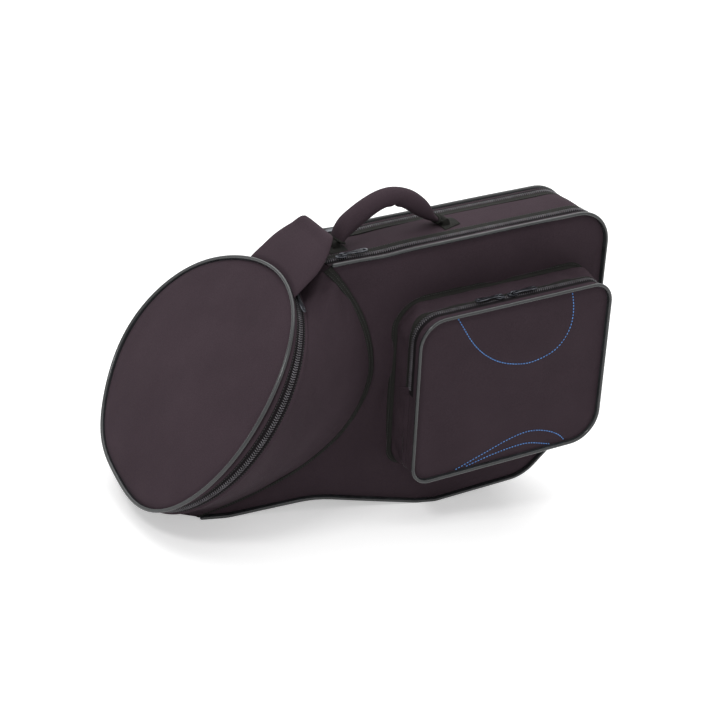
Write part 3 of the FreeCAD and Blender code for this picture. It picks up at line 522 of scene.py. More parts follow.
def closed_grid(name, outer, inner, looks, wrap=False, inner_look=0, column_look=None, sharp=50,
                banded=None):
    """Closed piece between two grids of points. banded marks the rows that have column looks."""
    m, n = outer.shape[:2]
    half = m * n
    points = np.concatenate([outer.reshape(-1, 3), inner.reshape(-1, 3)])
    uv = np.concatenate([lengths(outer).reshape(-1, 2), lengths(inner).reshape(-1, 2)])
    columns = column_look or [0] * (n - 1)
    faces, which = [], []
    for i in range(m if wrap else m - 1):
        k = (i + 1) % m
        for j in range(n - 1):
            a, b, c, d = i * n + j, i * n + j + 1, k * n + j + 1, k * n + j
            faces += [(a, b, c, d), (half + a, half + d, half + c, half + b)]
            which += [columns[j] if banded is None or banded[i] else 0, inner_look]
        for j in (0, n - 1):
            a, d = i * n + j, k * n + j
            faces.append((a, d, half + d, half + a))
            which.append(columns[min(j, n - 2)])
    for i in () if wrap else (0, m - 1):
        for j in range(n - 1):
            a, b = i * n + j, i * n + j + 1
            faces.append((a, b, half + b, half + a))
            which.append(columns[j])
    return mesh_object(name, points, faces, uv, looks, which, sharp)


EDGE_ROWS = (0.8, 2.2, 4.5)


def region(loop, spacing):
    """Even triangles that fill a closed plane line, with rows of points close to its edge."""
    loop = np.asarray(loop, float)
    after = np.roll(loop, -1, axis=0)
    area = np.sum(loop[:, 0] * after[:, 1] - after[:, 0] * loop[:, 1])
    along = unit(after - np.roll(loop, 1, axis=0))
    inward = np.stack([-along[:, 1], along[:, 0]], axis=1) * math.copysign(1, area)
    found = [loop]
    for ring in EDGE_ROWS:
        moved = loop + inward * ring
        keep = inside(moved, loop) & (distance(moved, loop, True) > 0.93 * ring)
        found.append(moved[keep])
    low, high = loop.min(axis=0), loop.max(axis=0)
    rows = np.arange(low[1], high[1], spacing * 0.866)
    grid = []
    for index, z in enumerate(rows):
        start = low[0] + (index % 2) * spacing / 2
        x = np.arange(start, high[0], spacing)
        grid.append(np.stack([x, np.full(len(x), z)], axis=1))
    grid = np.concatenate(grid)
    grid = grid[inside(grid, loop)]
    grid = grid[distance(grid, loop, True) > EDGE_ROWS[-1] + 0.55 * spacing]
    found.append(grid)
    points = np.concatenate(found)
    edges = [(i, (i + 1) % len(loop)) for i in range(len(loop))]
    made = geometry.delaunay_2d_cdt([Vector(p) for p in points], edges, [], 1, 1e-4)
    return np.array([tuple(p) for p in made[0]]), [tuple(f) for f in made[2]]


def pillow(name, loop, outer, inner, spacing, looks, inner_look=0, place=None):
    """Closed padded piece over a plane region. outer and inner give the height of both faces from
    the plane points and their distance to the edge, and place turns them into the bag's frame."""
    flat, faces = region(loop, spacing)
    edge = distance(flat, np.asarray(loop), True)
    one, two = outer(flat, edge), inner(flat, edge)
    if place is None:
        upper = np.stack([flat[:, 0], one, flat[:, 1]], axis=1)
        lower = np.stack([flat[:, 0], two, flat[:, 1]], axis=1)
    else:
        upper, lower = place(flat, one), place(flat, two)
    count = len(flat)
    used = {}
    for face in faces:
        for a, b in zip(face, face[1:] + face[:1]):
            used[(a, b)] = used.get((a, b), 0) + 1
    walls = [(a, b, b + count, a + count) for a, b in used if (b, a) not in used]
    every = list(faces) + [tuple(count + i for i in f[::-1]) for f in faces] + walls
    which = [0] * len(faces) + [inner_look] * len(faces) + [0] * len(walls)
    points = np.concatenate([upper, lower])
    return mesh_object(name, points, every, np.concatenate([flat, flat]), looks, which)


def ring_faces(count, sides, closed=False):
    """Faces of a skin over rings of points, with a cap at each open end."""
    faces = []
    for i in range(count if closed else count - 1):
        k = (i + 1) % count
        for j in range(sides):
            l = (j + 1) % sides
            faces.append((i * sides + j, i * sides + l, k * sides + l, k * sides + j))
    if not closed:
        faces.append(tuple(range(sides)))
        faces.append(tuple((count - 1) * sides + j for j in range(sides)))
    return faces


CAP_SHARES = ((-0.85, 0.45), (-0.45, 0.85))


def tube(name, line, radius, looks, closed=False, sides=16, normal=(0.0, 1.0, 0.0), welt=None):
    """Round cord along a line, with an optional sewn-in edge towards the angle of its welt."""
    line = np.asarray(line, float)
    radii = np.full(len(line), float(radius))
    if closed:
        along = unit(np.roll(line, -1, axis=0) - np.roll(line, 1, axis=0))
    else:
        along = unit(np.gradient(line, axis=0))
    side = np.zeros_like(line)
    start = np.array(normal, float)
    for i in range(len(line)):
        start = unit(start - along[i] * (start @ along[i]))
        side[i] = start
    if not closed:
        first = [line[0] + along[0] * radius * a for a, _ in CAP_SHARES]
        last = [line[-1] - along[-1] * radius * a for a, _ in reversed(CAP_SHARES)]
        line = np.vstack([first, line, last])
        radii = np.concatenate([[radius * s for _, s in CAP_SHARES], radii,
                                [radius * s for _, s in reversed(CAP_SHARES)]])
        along = np.vstack([along[:1]] * 2 + [along] + [along[-1:]] * 2)
        side = np.vstack([side[:1]] * 2 + [side] + [side[-1:]] * 2)
    turn = turns(sides)
    third = np.cross(along, side)
    ring = (np.cos(turn)[None, :, None] * side[:, None]
            + np.sin(turn)[None, :, None] * third[:, None])
    if welt is not None:
        off = np.abs((turn - math.radians(welt) + math.pi) % (2 * math.pi) - math.pi)
        ring = ring * (1 + 0.85 * np.exp(-(off / 0.36) ** 2))[None, :, None]
    points = (line[:, None] + ring * radii[:, None, None]).reshape(-1, 3)
    uv = np.stack(np.broadcast_arrays(travelled(line)[:, None], turn[None] * radii.mean()), axis=-1)
    return mesh_object(name, points, ring_faces(len(line), sides, closed), uv.reshape(-1, 2), looks)


def bars(name, centre, axis, along, out, sections, look, sides=6):
    """Many small bars at once, such as zipper teeth or stitches. Each section of a bar is its
    place on the axis, height, shift along the row, and its half height and half width."""
    turn = turns(sides)
    rings = []
    for reach, lift, shift, high, wide in sections:
        middle = centre + axis * reach + out * lift + along * shift
        rings.append(middle[:, None] + out[:, None] * (np.cos(turn) * high)[None, :, None]
                     + along[:, None] * (np.sin(turn) * wide)[None, :, None])
    block = len(sections) * sides
    faces = [tuple(k * block + v for v in face) for k in range(len(centre))
             for face in ring_faces(len(sections), sides)]
    flat = np.stack(rings, axis=1).reshape(-1, 3)
    return mesh_object(name, flat, faces, flat[:, :2], [look])


TOOTH = ((0.25, 1.30, 0.55, 0.62, 0.66), (1.3, 1.42, 0.25, 0.72, 0.70),
         (2.5, 1.20, -0.2, 0.66, 0.66), (3.3, 0.55, -0.5, 0.45, 0.55))


def teeth(name, body, node, line, side, out, phase):
    """One coil row of a zipper beside its parting line."""
    s = travelled(line)
    at = (np.arange(int(s[-1] / TOOTH_PITCH)) + 0.25 + 0.5 * phase) * TOOTH_PITCH
    along = unit(np.gradient(line, axis=0))
    row = bars(name, picked(at, s, line), unit(picked(at, s, side)), unit(picked(at, s, along)),
               unit(picked(at, s, out)), TOOTH, ZIP)
    dress(row, body, [node])


def sew(name, body, line, out, look=BLACK, long=2.3, thick=0.34, lift=0.1):
    """A row of stitches on the cloth."""
    s = travelled(line)
    at = np.arange(0.5, s[-1] - long, long + STITCH_GAP) + long / 2
    along = unit(picked(at, s, unit(np.gradient(line, axis=0))))
    outward = unit(picked(at, s, out))
    half = long / 2
    profile = ((-half, lift - thick, 0, 0.1, 0.1), (-half * 0.6, lift, 0, thick, thick),
               (half * 0.6, lift, 0, thick, thick), (half, lift - thick, 0, 0.1, 0.1))
    row = bars(name, picked(at, s, line), along, np.cross(along, outward), outward, profile, look,
               sides=5)
    dress(row, body)


# The outline of the bag and its seam

PANEL = rounded(PANEL_CORNERS, PANEL_RADII, 4.0)
SEAM = spline(SEAM_THROUGH, 3.0)
ZIP_RUN = rounded(PANEL_CORNERS[:2] + [(RIGHT, 101.2)], [0, 50, 0], 3.0)
LOW_ANGLE = math.pi - THROAT_ANGLE
RIM_TOP = bell_point(THROAT_ANGLE, RADIUS + wobble(THROAT_ANGLE, THROAT), THROAT)
RIM_LOW = bell_point(LOW_ANGLE, RADIUS + wobble(LOW_ANGLE, THROAT), THROAT)
BAND_CORNERS = [(RIM_TOP[0], RIM_TOP[2])] + PANEL_CORNERS + [(RIM_LOW[0], RIM_LOW[2])]
BAND = rounded(BAND_CORNERS, [0, 14] + PANEL_RADII[1:-1] + [24, 0], 5.0)


def at_y(outline, offset, y):
    """A line of the outline, moved outwards, at one place across the bag."""
    moved = outline.line + outline.out * np.reshape(offset, (-1, 1))
    return np.stack([moved[:, 0], np.full(len(moved), float(y)), moved[:, 1]], axis=1)


def lift3(outline):
    """The outline's outward directions in the bag's frame."""
    return np.stack([outline.out[:, 0], np.zeros(len(outline.out)), outline.out[:, 1]], axis=1)


def inset(outline, by):
    """The outline's line, moved inwards."""
    return outline.line - outline.out * by


def ribbon(outline, ys, profile):
    """Grid along the outline. profile gives the offset from the outline for each place across."""
    columns = [at_y(outline, o, y) for y, o in zip(*np.broadcast_arrays(ys, profile))]
    return np.stack(columns, axis=1)


def swell(grid, amount, size, seed, edge, outline):
    """Push the middle columns of a grid in and out a little, and keep its edges."""
    field = soft(grid, size, seed) * amount
    ys = lengths(grid)[..., 1]
    hold = np.clip(np.minimum(ys, ys[:, -1:] - ys) / edge, 0, 1)
    return grid + lift3(outline)[:, None] * (field * hold)[..., None]


def panel_loop(inwards, gap=0.0):
    """Closed outline of a flat panel: the outline and the seam."""
    return np.vstack([inset(PANEL, inwards), SEAM[::-1][1:-1] + np.array([gap, -gap])])


def padded_face(base, rise, sign, seed, drop=2.4, roll=7.0):
    """Height of a padded face: rolled down at its sewn edge, crowned and faintly uneven."""
    def height(flat, edge):
        crown = drop * (1 - np.exp(-edge / roll)) + rise * (1 - np.exp(-edge / 45.0))
        loose = np.clip(edge / 30.0, 0, 1)
        uneven = 0.7 * soft(flat, 95, seed) + 0.35 * soft(flat, 38, seed + 1)
        return base + sign * (crown + loose * uneven)
    return height


def level(y):
    """Height of a flat face."""
    return lambda flat, edge: np.full(len(flat), float(y))


FRONT_CREASES = (((318, 372), (296, 320), 9, 0.9), ((345, 330), (322, 280), 8, 0.8),
                 ((60, 372), (120, 338), 12, 0.7), ((-52, 352), (-10, 318), 8, 0.8),
                 ((8, 120), (24, 205), 8, 1.0))


def make_panels():
    """Front and rear panels, with the lining behind the front one."""
    front_face = padded_face(-50.2, 1.6, -1, 11)
    front = pillow("front_panel", panel_loop(0.5),
                   lambda f, e: creased(front_face(f, e), f, FRONT_CREASES), level(-44.9), 6.0,
                   [FABRIC])
    dress(front, "front_lid", ["front_panel_cover", "front_panel_foam"])
    inner = pillow("front_panel_lining_cloth", panel_loop(1.6), level(-44.8),
                   lambda f, e: -44.0 - 0.5 * np.exp(-e / 4.0) + 0.12 * soft(f, 60, 21), 9.0,
                   [BRUSHED])
    dress(inner, "front_lid", ["front_panel_lining"])
    rear = pillow("rear_panel_pad", panel_loop(0.5, 0.5), padded_face(50.2, 1.6, 1, 31),
                  level(47.1), 7.0, [FABRIC])
    dress(rear, "rear_cover", ["rear_panel"])


def meet_rim(grid):
    """The band's two ends, drawn in or out to where the bell's rim runs at their depth."""
    grid = grid.copy()
    lean = np.arcsin(np.clip(-grid[..., 1] / RADIUS, -1, 1))
    for end, angle, away in ((RIM_TOP, lean, THROAT_ANGLE),
                             (RIM_LOW, math.pi - lean, LOW_ANGLE)):
        near = np.linalg.norm(grid[..., [0, 2]] - end[[0, 2]], axis=-1)
        fade = np.clip(1 - near / 90.0, 0, 1) ** 2
        offset = (wobble(angle, THROAT) - wobble(away, THROAT)) * np.cos(angle) * fade
        grid = grid + offset[..., None] * BELL_UP
    return grid


SIDE_PROFILE = [-0.9, 0.1, 0.7, 0.6, 0.3, 0.0, -0.1, -0.1]
BAND_DENTS = (((-25, 378), (30, 378), 9.0, 1.2), ((112, 378), (160, 378), 8.0, 1.0))


def make_side_bands():
    """Bands between the piping and the zippers, and the padded band between the zippers."""
    for side, body, sign, seed, shift in (("front", "front_lid", -1, 5, 0.0),
                                          ("rear", "rear_cover", 1, 6, 0.5)):
        ys = sign * np.array([51.0, 50.0, 47.5, 45.0, 42.5, 40.5, 39.0, 37.15])
        outer, inner = ribbon(PANEL, ys, SIDE_PROFILE), ribbon(PANEL, ys, -1.2)
        for skin in (outer, inner):
            skin[-1] += np.array([shift, 0.0, -shift])
        band = closed_grid("%s_side_band" % side, swell(outer, 0.5, 45, seed, 3.0, PANEL), inner,
                           [FABRIC, COIL_TAPE], column_look=[0, 0, 0, 1, 1, 1, 1])
        dress(band, body, ["%s_border" % side])
        if side == "front":
            ys = [-44.0, -43.0, -40.0, -37.15]
            band = closed_grid("front_band_padding", ribbon(ZIP_RUN, ys, -1.3),
                               ribbon(ZIP_RUN, ys, [-6.4, -7.1, -7.2, -6.6]), [BRUSHED])
            dress(band, "front_lid", ["front_border_foam"])
    ys = np.concatenate([[-36.85, -35.8], np.linspace(-33, 33, 15), [35.8, 36.85]])
    crown = 1.4 * np.sqrt(np.clip(1 - (ys / 34.0) ** 2, 0, 1))
    outer = ribbon(BAND, ys, np.where(abs(ys) > 34, -0.1, crown - 0.6))
    outer = swell(outer, 0.8, 60, 7, 14.0, BAND)
    for start, end, width, depth in BAND_DENTS:
        near = fold(outer[..., [0, 2]], start, end, width) * np.exp(-(outer[..., 1] / 22.0) ** 2)
        outer = outer - lift3(BAND)[:, None] * (depth * near)[..., None]
    band = closed_grid("body_band", meet_rim(outer), meet_rim(ribbon(BAND, ys, -WALL)),
                       [FABRIC, BRUSHED], inner_look=1)
    dress(band, "shell", ["gusset_cover", "gusset_foam"])


def make_edge_tapes():
    """Ribbed tapes beside the main and rear coils, with their stitching."""
    for side, sign in (("front", -1), ("rear", 1)):
        near = sign * (ZIP_Y - PART_GAP - ROW_WIDE + 0.6)
        ys = near - sign * np.array([0.0, 0.6, 2.5, 6.0, 9.0, 10.6, 11.1])
        tape = closed_grid("edge_tape_%s" % side,
                           ribbon(ZIP_RUN, ys, [0.1, 0.75, 0.85, 0.95, 0.9, 0.8, 0.1]),
                           ribbon(ZIP_RUN, ys, -0.4), [RIBBON])
        dress(tape, "shell", ["edge_tapes"])
        sew("edge_tape_stitches_%s" % side, "shell", at_y(ZIP_RUN, 0.85, near - sign * 9.6),
            lift3(ZIP_RUN))


def make_outline_cords():
    """Piping along the front and rear corners of the outline."""
    for side, body, sign, welt in (("front", "front_lid", -1, -45), ("rear", "rear_cover", 1, -135)):
        name = side + "_piping_cord"
        line = at_y(PANEL, CORD_SEAT, sign * (HALF_THICK + CORD_SEAT))
        line[:, 1] += 0.35 * np.sin(np.arange(len(line)) * 0.11)
        dress(tube(name, line[1:-1], CORD, [PIPING], welt=welt), body,
              ["%s_piping" % side])
        sew(name + "_stitches", body, at_y(PANEL, 0.9, sign * 48.6), lift3(PANEL))


def make_zips():
    """Coil rows of the main and rear zippers."""
    for node, body, sign, y in (("main_zip_lid_row", "front_lid", -1, -ZIP_Y),
                                ("main_zip_body_row", "shell", 1, -ZIP_Y),
                                ("rear_zip_body_row", "shell", -1, ZIP_Y),
                                ("rear_zip_cover_row", "rear_cover", 1, ZIP_Y)):
        zip_row(node, body, sign, ZIP_RUN, y)


def zip_row(node, body, sign, outline, y):
    """One coil row of a straight zipper. The two rows of a zipper mesh, half a pitch apart."""
    line = at_y(outline, 0.0, y)
    teeth(node + "_teeth", body, node, line, facing(line, sign), lift3(outline),
          0 if sign < 0 else 1)


# The cones between the bell's rim and the flat panels

def cone_rows():
    """Rim and seam ends of the cone's rulings, with the corner turned towards the zipper."""
    strip = (LOW_ANGLE - THROAT_ANGLE) * CORNER_STRIP_SHARE
    seam = resample(SEAM, np.linalg.norm(np.diff(SEAM, axis=0), axis=1).sum() / 110)
    share = np.linspace(0, 1, len(seam))
    angle = THROAT_ANGLE + strip + (LOW_ANGLE - THROAT_ANGLE - 2 * strip) * share ** RIM_PAIR_SHARE
    seam = np.stack([seam[:, 0], np.full(len(seam), -HALF_THICK), seam[:, 1]], axis=1)
    corner_y = -ZIP_Y - PART_GAP
    turn = np.array([0.0, 0.35, 0.7, 0.92])
    first = np.repeat(seam[:1], 4, axis=0)
    first[:, 1] = corner_y - (HALF_THICK + corner_y) * turn
    last = np.repeat(seam[-1:], 4, axis=0)
    last[:, 1] = first[::-1, 1]
    angle = np.concatenate([THROAT_ANGLE + strip * turn, angle, LOW_ANGLE - strip * turn[::-1]])
    return (angle, bell_point(angle, RADIUS + wobble(angle, THROAT), THROAT),
            np.vstack([first, seam, last]))


CONE_CREASES = (((-72, -50, 372), (-118, -96, 322), 6.0, 3.6),
                ((-66, -52, 362), (-104, -84, 346), 4.0, 2.4),
                ((-58, -52, 356), (-66, -74, 286), 7.0, 2.0),
                ((-130, -120, 300), (-150, -140, 190), 8.0, 1.3),
                ((-180, -120, 170), (-225, -90, 95), 9.0, 1.4),
                ((-30, -56, 170), (-110, -85, 130), 9.0, 1.2))


def make_cones():
    """Padded cones on both sides, alike but for the rim that each one meets, and their tapes."""
    angle, rim, seam = cone_rows()
    share = np.linspace(0, 1, 46)
    grid = rim[:, None] * (1 - share)[None, :, None] + seam[:, None] * share[None, :, None]
    outward = unit(np.cross(np.gradient(grid, axis=0), np.gradient(grid, axis=1)))
    if np.mean(outward[..., 1]) > 0:
        outward = -outward
    across = np.linspace(0, 1, len(angle))[:, None]
    hold = np.clip(np.minimum(share, 1 - share)[None] / 0.06, 0, 1)
    hold = hold * np.clip(np.minimum(across, 1 - across) / 0.05, 0, 1)
    puff = 4.0 * np.sin(np.pi * share)[None] * np.sin(np.pi * across) ** 0.5
    puff = puff + 1.0 * soft(grid, 85, 41) + 0.4 * soft(grid, 34, 42)
    puff = creased(puff, grid, CONE_CREASES, -1, lean=0.6)
    outer = grid + outward * (puff * hold)[..., None]
    roll = np.minimum(share, 1 - share) * 200.0
    outer = outer - outward * (1.2 * np.exp(-roll / 2.0))[None, :, None]
    inner = grid - outward * (WALL * (0.55 + 0.45 * np.clip(hold * 1.2, 0, 1)))[..., None]
    inner[..., 1] = np.minimum(inner[..., 1], -ZIP_Y - PART_GAP)
    binding = cone_binding(seam[4:-4], rim[4:-4], outward[4:-4, -1])
    for side, body, sign in (("front", "front_lid", 1), ("rear", "shell", -1)):
        flip = np.array([1, sign, 1])
        offset = wobble(sign * angle, THROAT) - wobble(angle, THROAT)
        move = (radial(sign * angle) * offset[:, None])[:, None] * (1 - share)[None, :, None]
        skins = [outer * flip + move, inner * flip + move]
        if sign < 0:
            for skin in skins:
                skin[..., 1] = np.maximum(skin[..., 1], ZIP_Y + PART_GAP)
        cone = closed_grid("%s_cone" % side, skins[0], skins[1], [FABRIC, BRUSHED], inner_look=1)
        dress(cone, body, ["cone_%s_cover" % side, "cone_%s_foam" % side])
        strip = closed_grid("%s_cone_binding" % side, binding[0] * flip, binding[1] * flip,
                            [RIBBON])
        dress(strip, body, ["cone_%s_binding" % side])
        for index, (line, out) in enumerate(binding[2]):
            sew("%s_binding_stitches_%d" % (side, index), body, line * flip, out * flip, thick=0.3)


def cone_binding(seam, rim, outward):
    """Folded tape over the seam's edge: a flat strip with a raised bound edge."""
    inward = unit(rim - seam)
    out = unit(outward + np.array([0.25, 0.0, 0.0]))
    reach = np.array([-1.7, -1.1, 1.2, 3.0, 4.2, 6.8, 9.3, 9.9])
    deep = np.array([-2.2, -2.0, -0.6, 0.15, 0.15, 0.15, 0.15, 0.15])
    high = np.array([0.3, 1.9, 2.6, 2.2, 1.5, 1.35, 1.25, 0.3])
    along = np.linspace(0, 1, len(seam))[:, None]
    wave = 1 + 0.10 * np.sin(along * 37.0) + 0.06 * np.sin(along * 91.0)
    flat = seam[:, None] + inward[:, None] * reach[None, :, None]
    top = flat + out[:, None] * (high[None] * wave)[..., None]
    low = flat + out[:, None] * deep[None, :, None]
    rows = [(seam + inward * place + out * rise, out) for place, rise in ((3.4, 2.1), (8.6, 1.3))]
    return top, low, rows


# The bell

def ring_line(angles, lift, depth):
    """Line round the bell's axis, lifted off its radius."""
    return bell_point(angles, RADIUS + lift + wobble(angles, depth), depth)


def ring_grid(angles, lifts, depths):
    """Grid round the bell's axis."""
    columns = [ring_line(angles, *place) for place in zip(*np.broadcast_arrays(lifts, depths))]
    return np.stack(columns, axis=1)


def radial(angles):
    """Directions away from the bell's axis."""
    return np.cos(angles)[:, None] * BELL_UP + np.sin(angles)[:, None] * FRONT


def ring_teeth(name, body, node, angles, sign, phase):
    """One coil row of the bell's zipper."""
    side = np.tile(-BELL_AXIS * sign, (len(angles), 1))
    teeth(name, body, node, ring_line(angles, 0.0, BELL_ZIP), side, radial(angles), phase)


def make_bell_rim():
    """Fixed rim of the bell: the front part on the lid, the rear part on the body."""
    gap = PART_GAP / RADIUS
    depths = [16.2, 16.8, 19.5, 22.0, 24.2, 25.6, 27.0]
    for side, body, start, end in (
            ("front", "front_lid", THROAT_ANGLE + gap, LOW_ANGLE - gap),
            ("rear", "shell", LOW_ANGLE + gap, 2 * math.pi + THROAT_ANGLE - gap)):
        angles = np.linspace(start, end, int((end - start) * RADIUS / 5))
        outer = ring_grid(angles, [-0.9, 0, 0.2, 0.3, 0.5, 1.9, 2.1, 1.2, -1], depths + [28.6, 29.2])
        inner = ring_grid(angles, -WALL, depths + [27.8, 28.0])
        band = closed_grid("%s_rim_band" % side, outer, inner, [COIL_TAPE, FABRIC, BRUSHED],
                           inner_look=2, column_look=[0, 0, 0, 0, 1, 1, 1, 1])
        dress(band, body, ["rim_band_%s" % side])
        ring_teeth("%s_rim_teeth" % side, body, "bell_zip_rim_row_%s" % side, angles, 1, 1)
        sew("%s_rim_stitches" % side, body, ring_line(angles, 0.35, 23.4), radial(angles))


LID_CREASES = (((112, 96), (62, -66), 13.0, 2.2), ((124, 60), (88, -30), 9.0, 1.4),
               ((80, 118), (10, 30), 15.0, 1.2), ((20, 140), (-50, 105), 12.0, 0.9),
               ((-90, 70), (-60, -60), 16.0, 0.8))


def lid_surface(flat, edge, drop):
    """Height of the lid over its rim plane: domed, creased and rolled down at its edge."""
    r = np.linalg.norm(flat, axis=1)
    dome = DOME * 0.8 * np.clip(1 - (r / RADIUS) ** 2, 0, 1)
    loose = np.clip(edge / 25.0, 0, 1)
    uneven = 0.9 * soft(flat, 120, 51) + 0.45 * soft(flat, 48, 52)
    uneven = creased(uneven, flat, LID_CREASES, -1)
    roll = 3.4 * np.exp(-edge / 5.0)
    return dome + loose * uneven - roll - drop + 1.6


def make_bell_lid():
    """Round lid: domed face, side band, piping, coil row and stitching."""
    angles = turns(214)
    rim = np.stack([np.cos(angles), np.sin(angles)], axis=1)
    rim = rim * (RADIUS - 0.6 + wobble(angles))[:, None]

    def place(flat, height):
        spread = flat[:, :1] * BELL_UP + flat[:, 1:] * FRONT
        return BELL_CENTRE + spread + height[:, None] * BELL_AXIS

    face = pillow("bell_lid_face", rim[::-1], lambda f, e: lid_surface(f, e, 0.0),
                  lambda f, e: lid_surface(f, e + 20, 7.0 - 3.5 * np.exp(-e / 4.0)), 6.5,
                  [FABRIC, BRUSHED], inner_look=1, place=place)
    dress(face, "bell_lid", ["bell_lid_cover", "bell_lid_foam"])
    outer = ring_grid(angles, [-0.8, 0.4, 0.9, 0.5, 0.2, 0, -0.1, -0.9],
                      [2.2, 3.4, 5.5, 8.0, 10.5, 13.0, 15.0, 15.8])
    inner = ring_grid(angles, 0.5 - WALL, [6.0, 6.5, 7.5, 9.0, 10.5, 13.0, 15.0, 15.8])
    band = closed_grid("bell_lid_side", outer, inner, [FABRIC, COIL_TAPE, BRUSHED], wrap=True,
                       inner_look=2, column_look=[0, 0, 0, 1, 1, 1, 1])
    dress(band, "bell_lid", ["bell_lid_band"])
    line = ring_line(angles, 1.6, -1.6)
    line = line + BELL_AXIS * (0.5 * np.cos(4 * angles + 0.8))[:, None]
    cord = tube("bell_lid_cord", line, CORD, [PIPING], closed=True, normal=BELL_AXIS, welt=135)
    dress(cord, "bell_lid", ["bell_lid_piping"])
    ring_teeth("bell_lid_teeth", "bell_lid", "bell_zip_lid_row", angles, -1, 0)
    sew("bell_lid_stitches", "bell_lid", ring_line(angles, 0.75, 9.0), radial(angles))


FLAP_ROOT_ANGLES = (-15.0, 26.0)
FLAP_AT = np.array([0.0, 0.2, 0.4, 0.6, 0.78, 0.85, 1.0])


def flap_middle(s, t):
    """Middle surface of the flap. s runs from its rear edge to its front, t from root to end."""
    lean = np.radians(FLAP_ROOT_ANGLES[0] + (FLAP_ROOT_ANGLES[1] - FLAP_ROOT_ANGLES[0]) * s)
    root = bell_point(lean, RADIUS + 2.9 + wobble(lean, 5.5), np.full(s.shape, 5.0))
    crest = np.stack([-66.8 + 0 * s, 24.5 - 72 * s, 413.0 + 0 * s], axis=-1)
    dome = np.sin(np.pi * s) ** 0.7
    knots = [root]
    for share in (0.26, 0.52, 0.78):
        point = root + (crest - root) * share
        arc = np.sin(np.pi * share ** 1.25)
        point[..., 1] += (1 - s) * 7.0 * arc - s * 13.5 * arc
        point += np.array([-0.6, 0.0, 0.8]) * (0.8 + 2.6 * dome[..., None]) * arc
        knots.append(point)
    knots.append(crest)
    knots.append(np.stack([-63.4 + 0 * s, 22.5 - 62 * s, 404.8 + 0 * s], axis=-1))
    knots.append(np.stack([-63.4 + 0 * s, 20 - 50 * s, 382.6 + 0 * s], axis=-1))
    knots = np.stack(knots)
    k = np.clip(np.searchsorted(FLAP_AT, t, side="right") - 1, 0, len(FLAP_AT) - 2)
    slopes = np.gradient(knots, FLAP_AT, axis=0)
    h = (FLAP_AT[k + 1] - FLAP_AT[k])[..., None]
    u = ((t - FLAP_AT[k]) / h[..., 0])[..., None]
    rows, cols = np.indices(s.shape)
    p, q = knots[k, rows, cols], knots[k + 1, rows, cols]
    a, b = slopes[k, rows, cols], slopes[k + 1, rows, cols]
    return ((1 + 2 * u) * (1 - u) ** 2 * p + u * (1 - u) ** 2 * h * a
            + u * u * (3 - 2 * u) * q + u * u * (u - 1) * h * b)


def make_flap():
    """Padded flap, full in the middle and rolled thin at its edges."""
    edge = np.array([0.0, 0.006, 0.02, 0.045, 0.08])
    share = np.concatenate([edge, np.linspace(0.13, 0.87, 19), 1 - edge[::-1]])
    s, t = np.meshgrid(share, np.concatenate([[0], np.linspace(0.02, 0.93, 44), 1 - edge[::-1]]),
                       indexing="ij")
    middle = flap_middle(s, t)
    normal = unit(np.cross(np.gradient(middle, axis=0), np.gradient(middle, axis=1)))
    if normal[12, 16, 2] < 0:
        normal = -normal
    side = np.minimum(s, 1 - s) * 95.0
    tip = (1 - t) * 120.0
    round_off = np.minimum(side, tip)
    half = 3.1 * np.sqrt(np.clip(1 - (1 - np.clip(round_off / 6.0, 0, 1)) ** 2, 0.06, 1))
    half = half * (0.45 + 0.55 * np.clip(t / 0.06, 0, 1))
    puff = 0.5 * soft(middle, 42, 61) * np.clip(side / 12, 0, 1)
    outer = middle + normal * (half + puff * np.clip(round_off / 8, 0, 1))[..., None]
    inner = middle - normal * (half * 0.9)[..., None]
    pad = closed_grid("flap_pad", outer, inner, [FABRIC, BRUSHED], inner_look=1, sharp=60)
    dress(pad, "flap", ["closing_flap"])


def make_flap_fastener():
    """Loop pile on the band and hook pile under the flap: flat strips with rounded edges."""
    edge = 0.35
    xs, ys = np.linspace(-68.1, -55.3, 9), np.linspace(-19.9, -0.1, 7)
    xs = np.concatenate([[xs[0], xs[0] + edge], xs[1:-1], [xs[-1] - edge, xs[-1]]])
    ys = np.concatenate([[ys[0], ys[0] + edge], ys[1:-1], [ys[-1] - edge, ys[-1]]])
    x, y = np.meshgrid(xs, ys, indexing="ij")
    rolled = (x == xs[0]) | (x == xs[-1]) | (y == ys[0]) | (y == ys[-1])
    for name, body, node, low, high in (("flap_loop_pile", "shell", "flap_loop_patch", 0.05, 1.2),
                                        ("flap_hook_pile", "flap", "flap_hook_tongue", 1.5, 2.7)):
        outer = np.stack([x, y, TOP + high - edge * rolled], axis=-1)
        inner = np.stack([x, y, np.full_like(x, TOP + low)], axis=-1)
        dress(closed_grid(name, outer, inner, [HOOKS]), body, [node])


# The pocket

POCKET = Outline(*(part[:-1] for part in rounded(POCKET_CORNERS, POCKET_RADII, 4.0)))
POCKET_ZIPPED = POCKET.line[:, 1] >= POCKET_ZIP_LOW - 8
TOP_STITCH = [(82, 303), (93, 285), (106, 264), (122, 245), (142, 229), (162, 219), (179, 214),
              (201, 211), (221, 214), (239, 221), (255, 237), (263, 256), (264, 278), (260, 303)]
LOW_STITCH = [(89, 69), (115, 79), (138, 87), (162, 95), (186, 101), (211, 103), (228, 100),
              (249, 92), (266, 80), (275, 68.5)]
LOWER_STITCH = [(113, 73), (139, 79), (163, 83), (188, 85), (213, 84), (233, 78), (249, 72),
                (256, 68.5)]


STITCH_LINES = [spline(line, 1.6) for line in (TOP_STITCH, LOW_STITCH, LOWER_STITCH)]
POCKET_CREASES = (((205, 300), (196, 262), 7, 0.7), ((228, 302), (222, 250), 8, 0.6),
                  ((300, 210), (316, 120), 9, 0.6), ((50, 120), (46, 220), 8, 0.5))


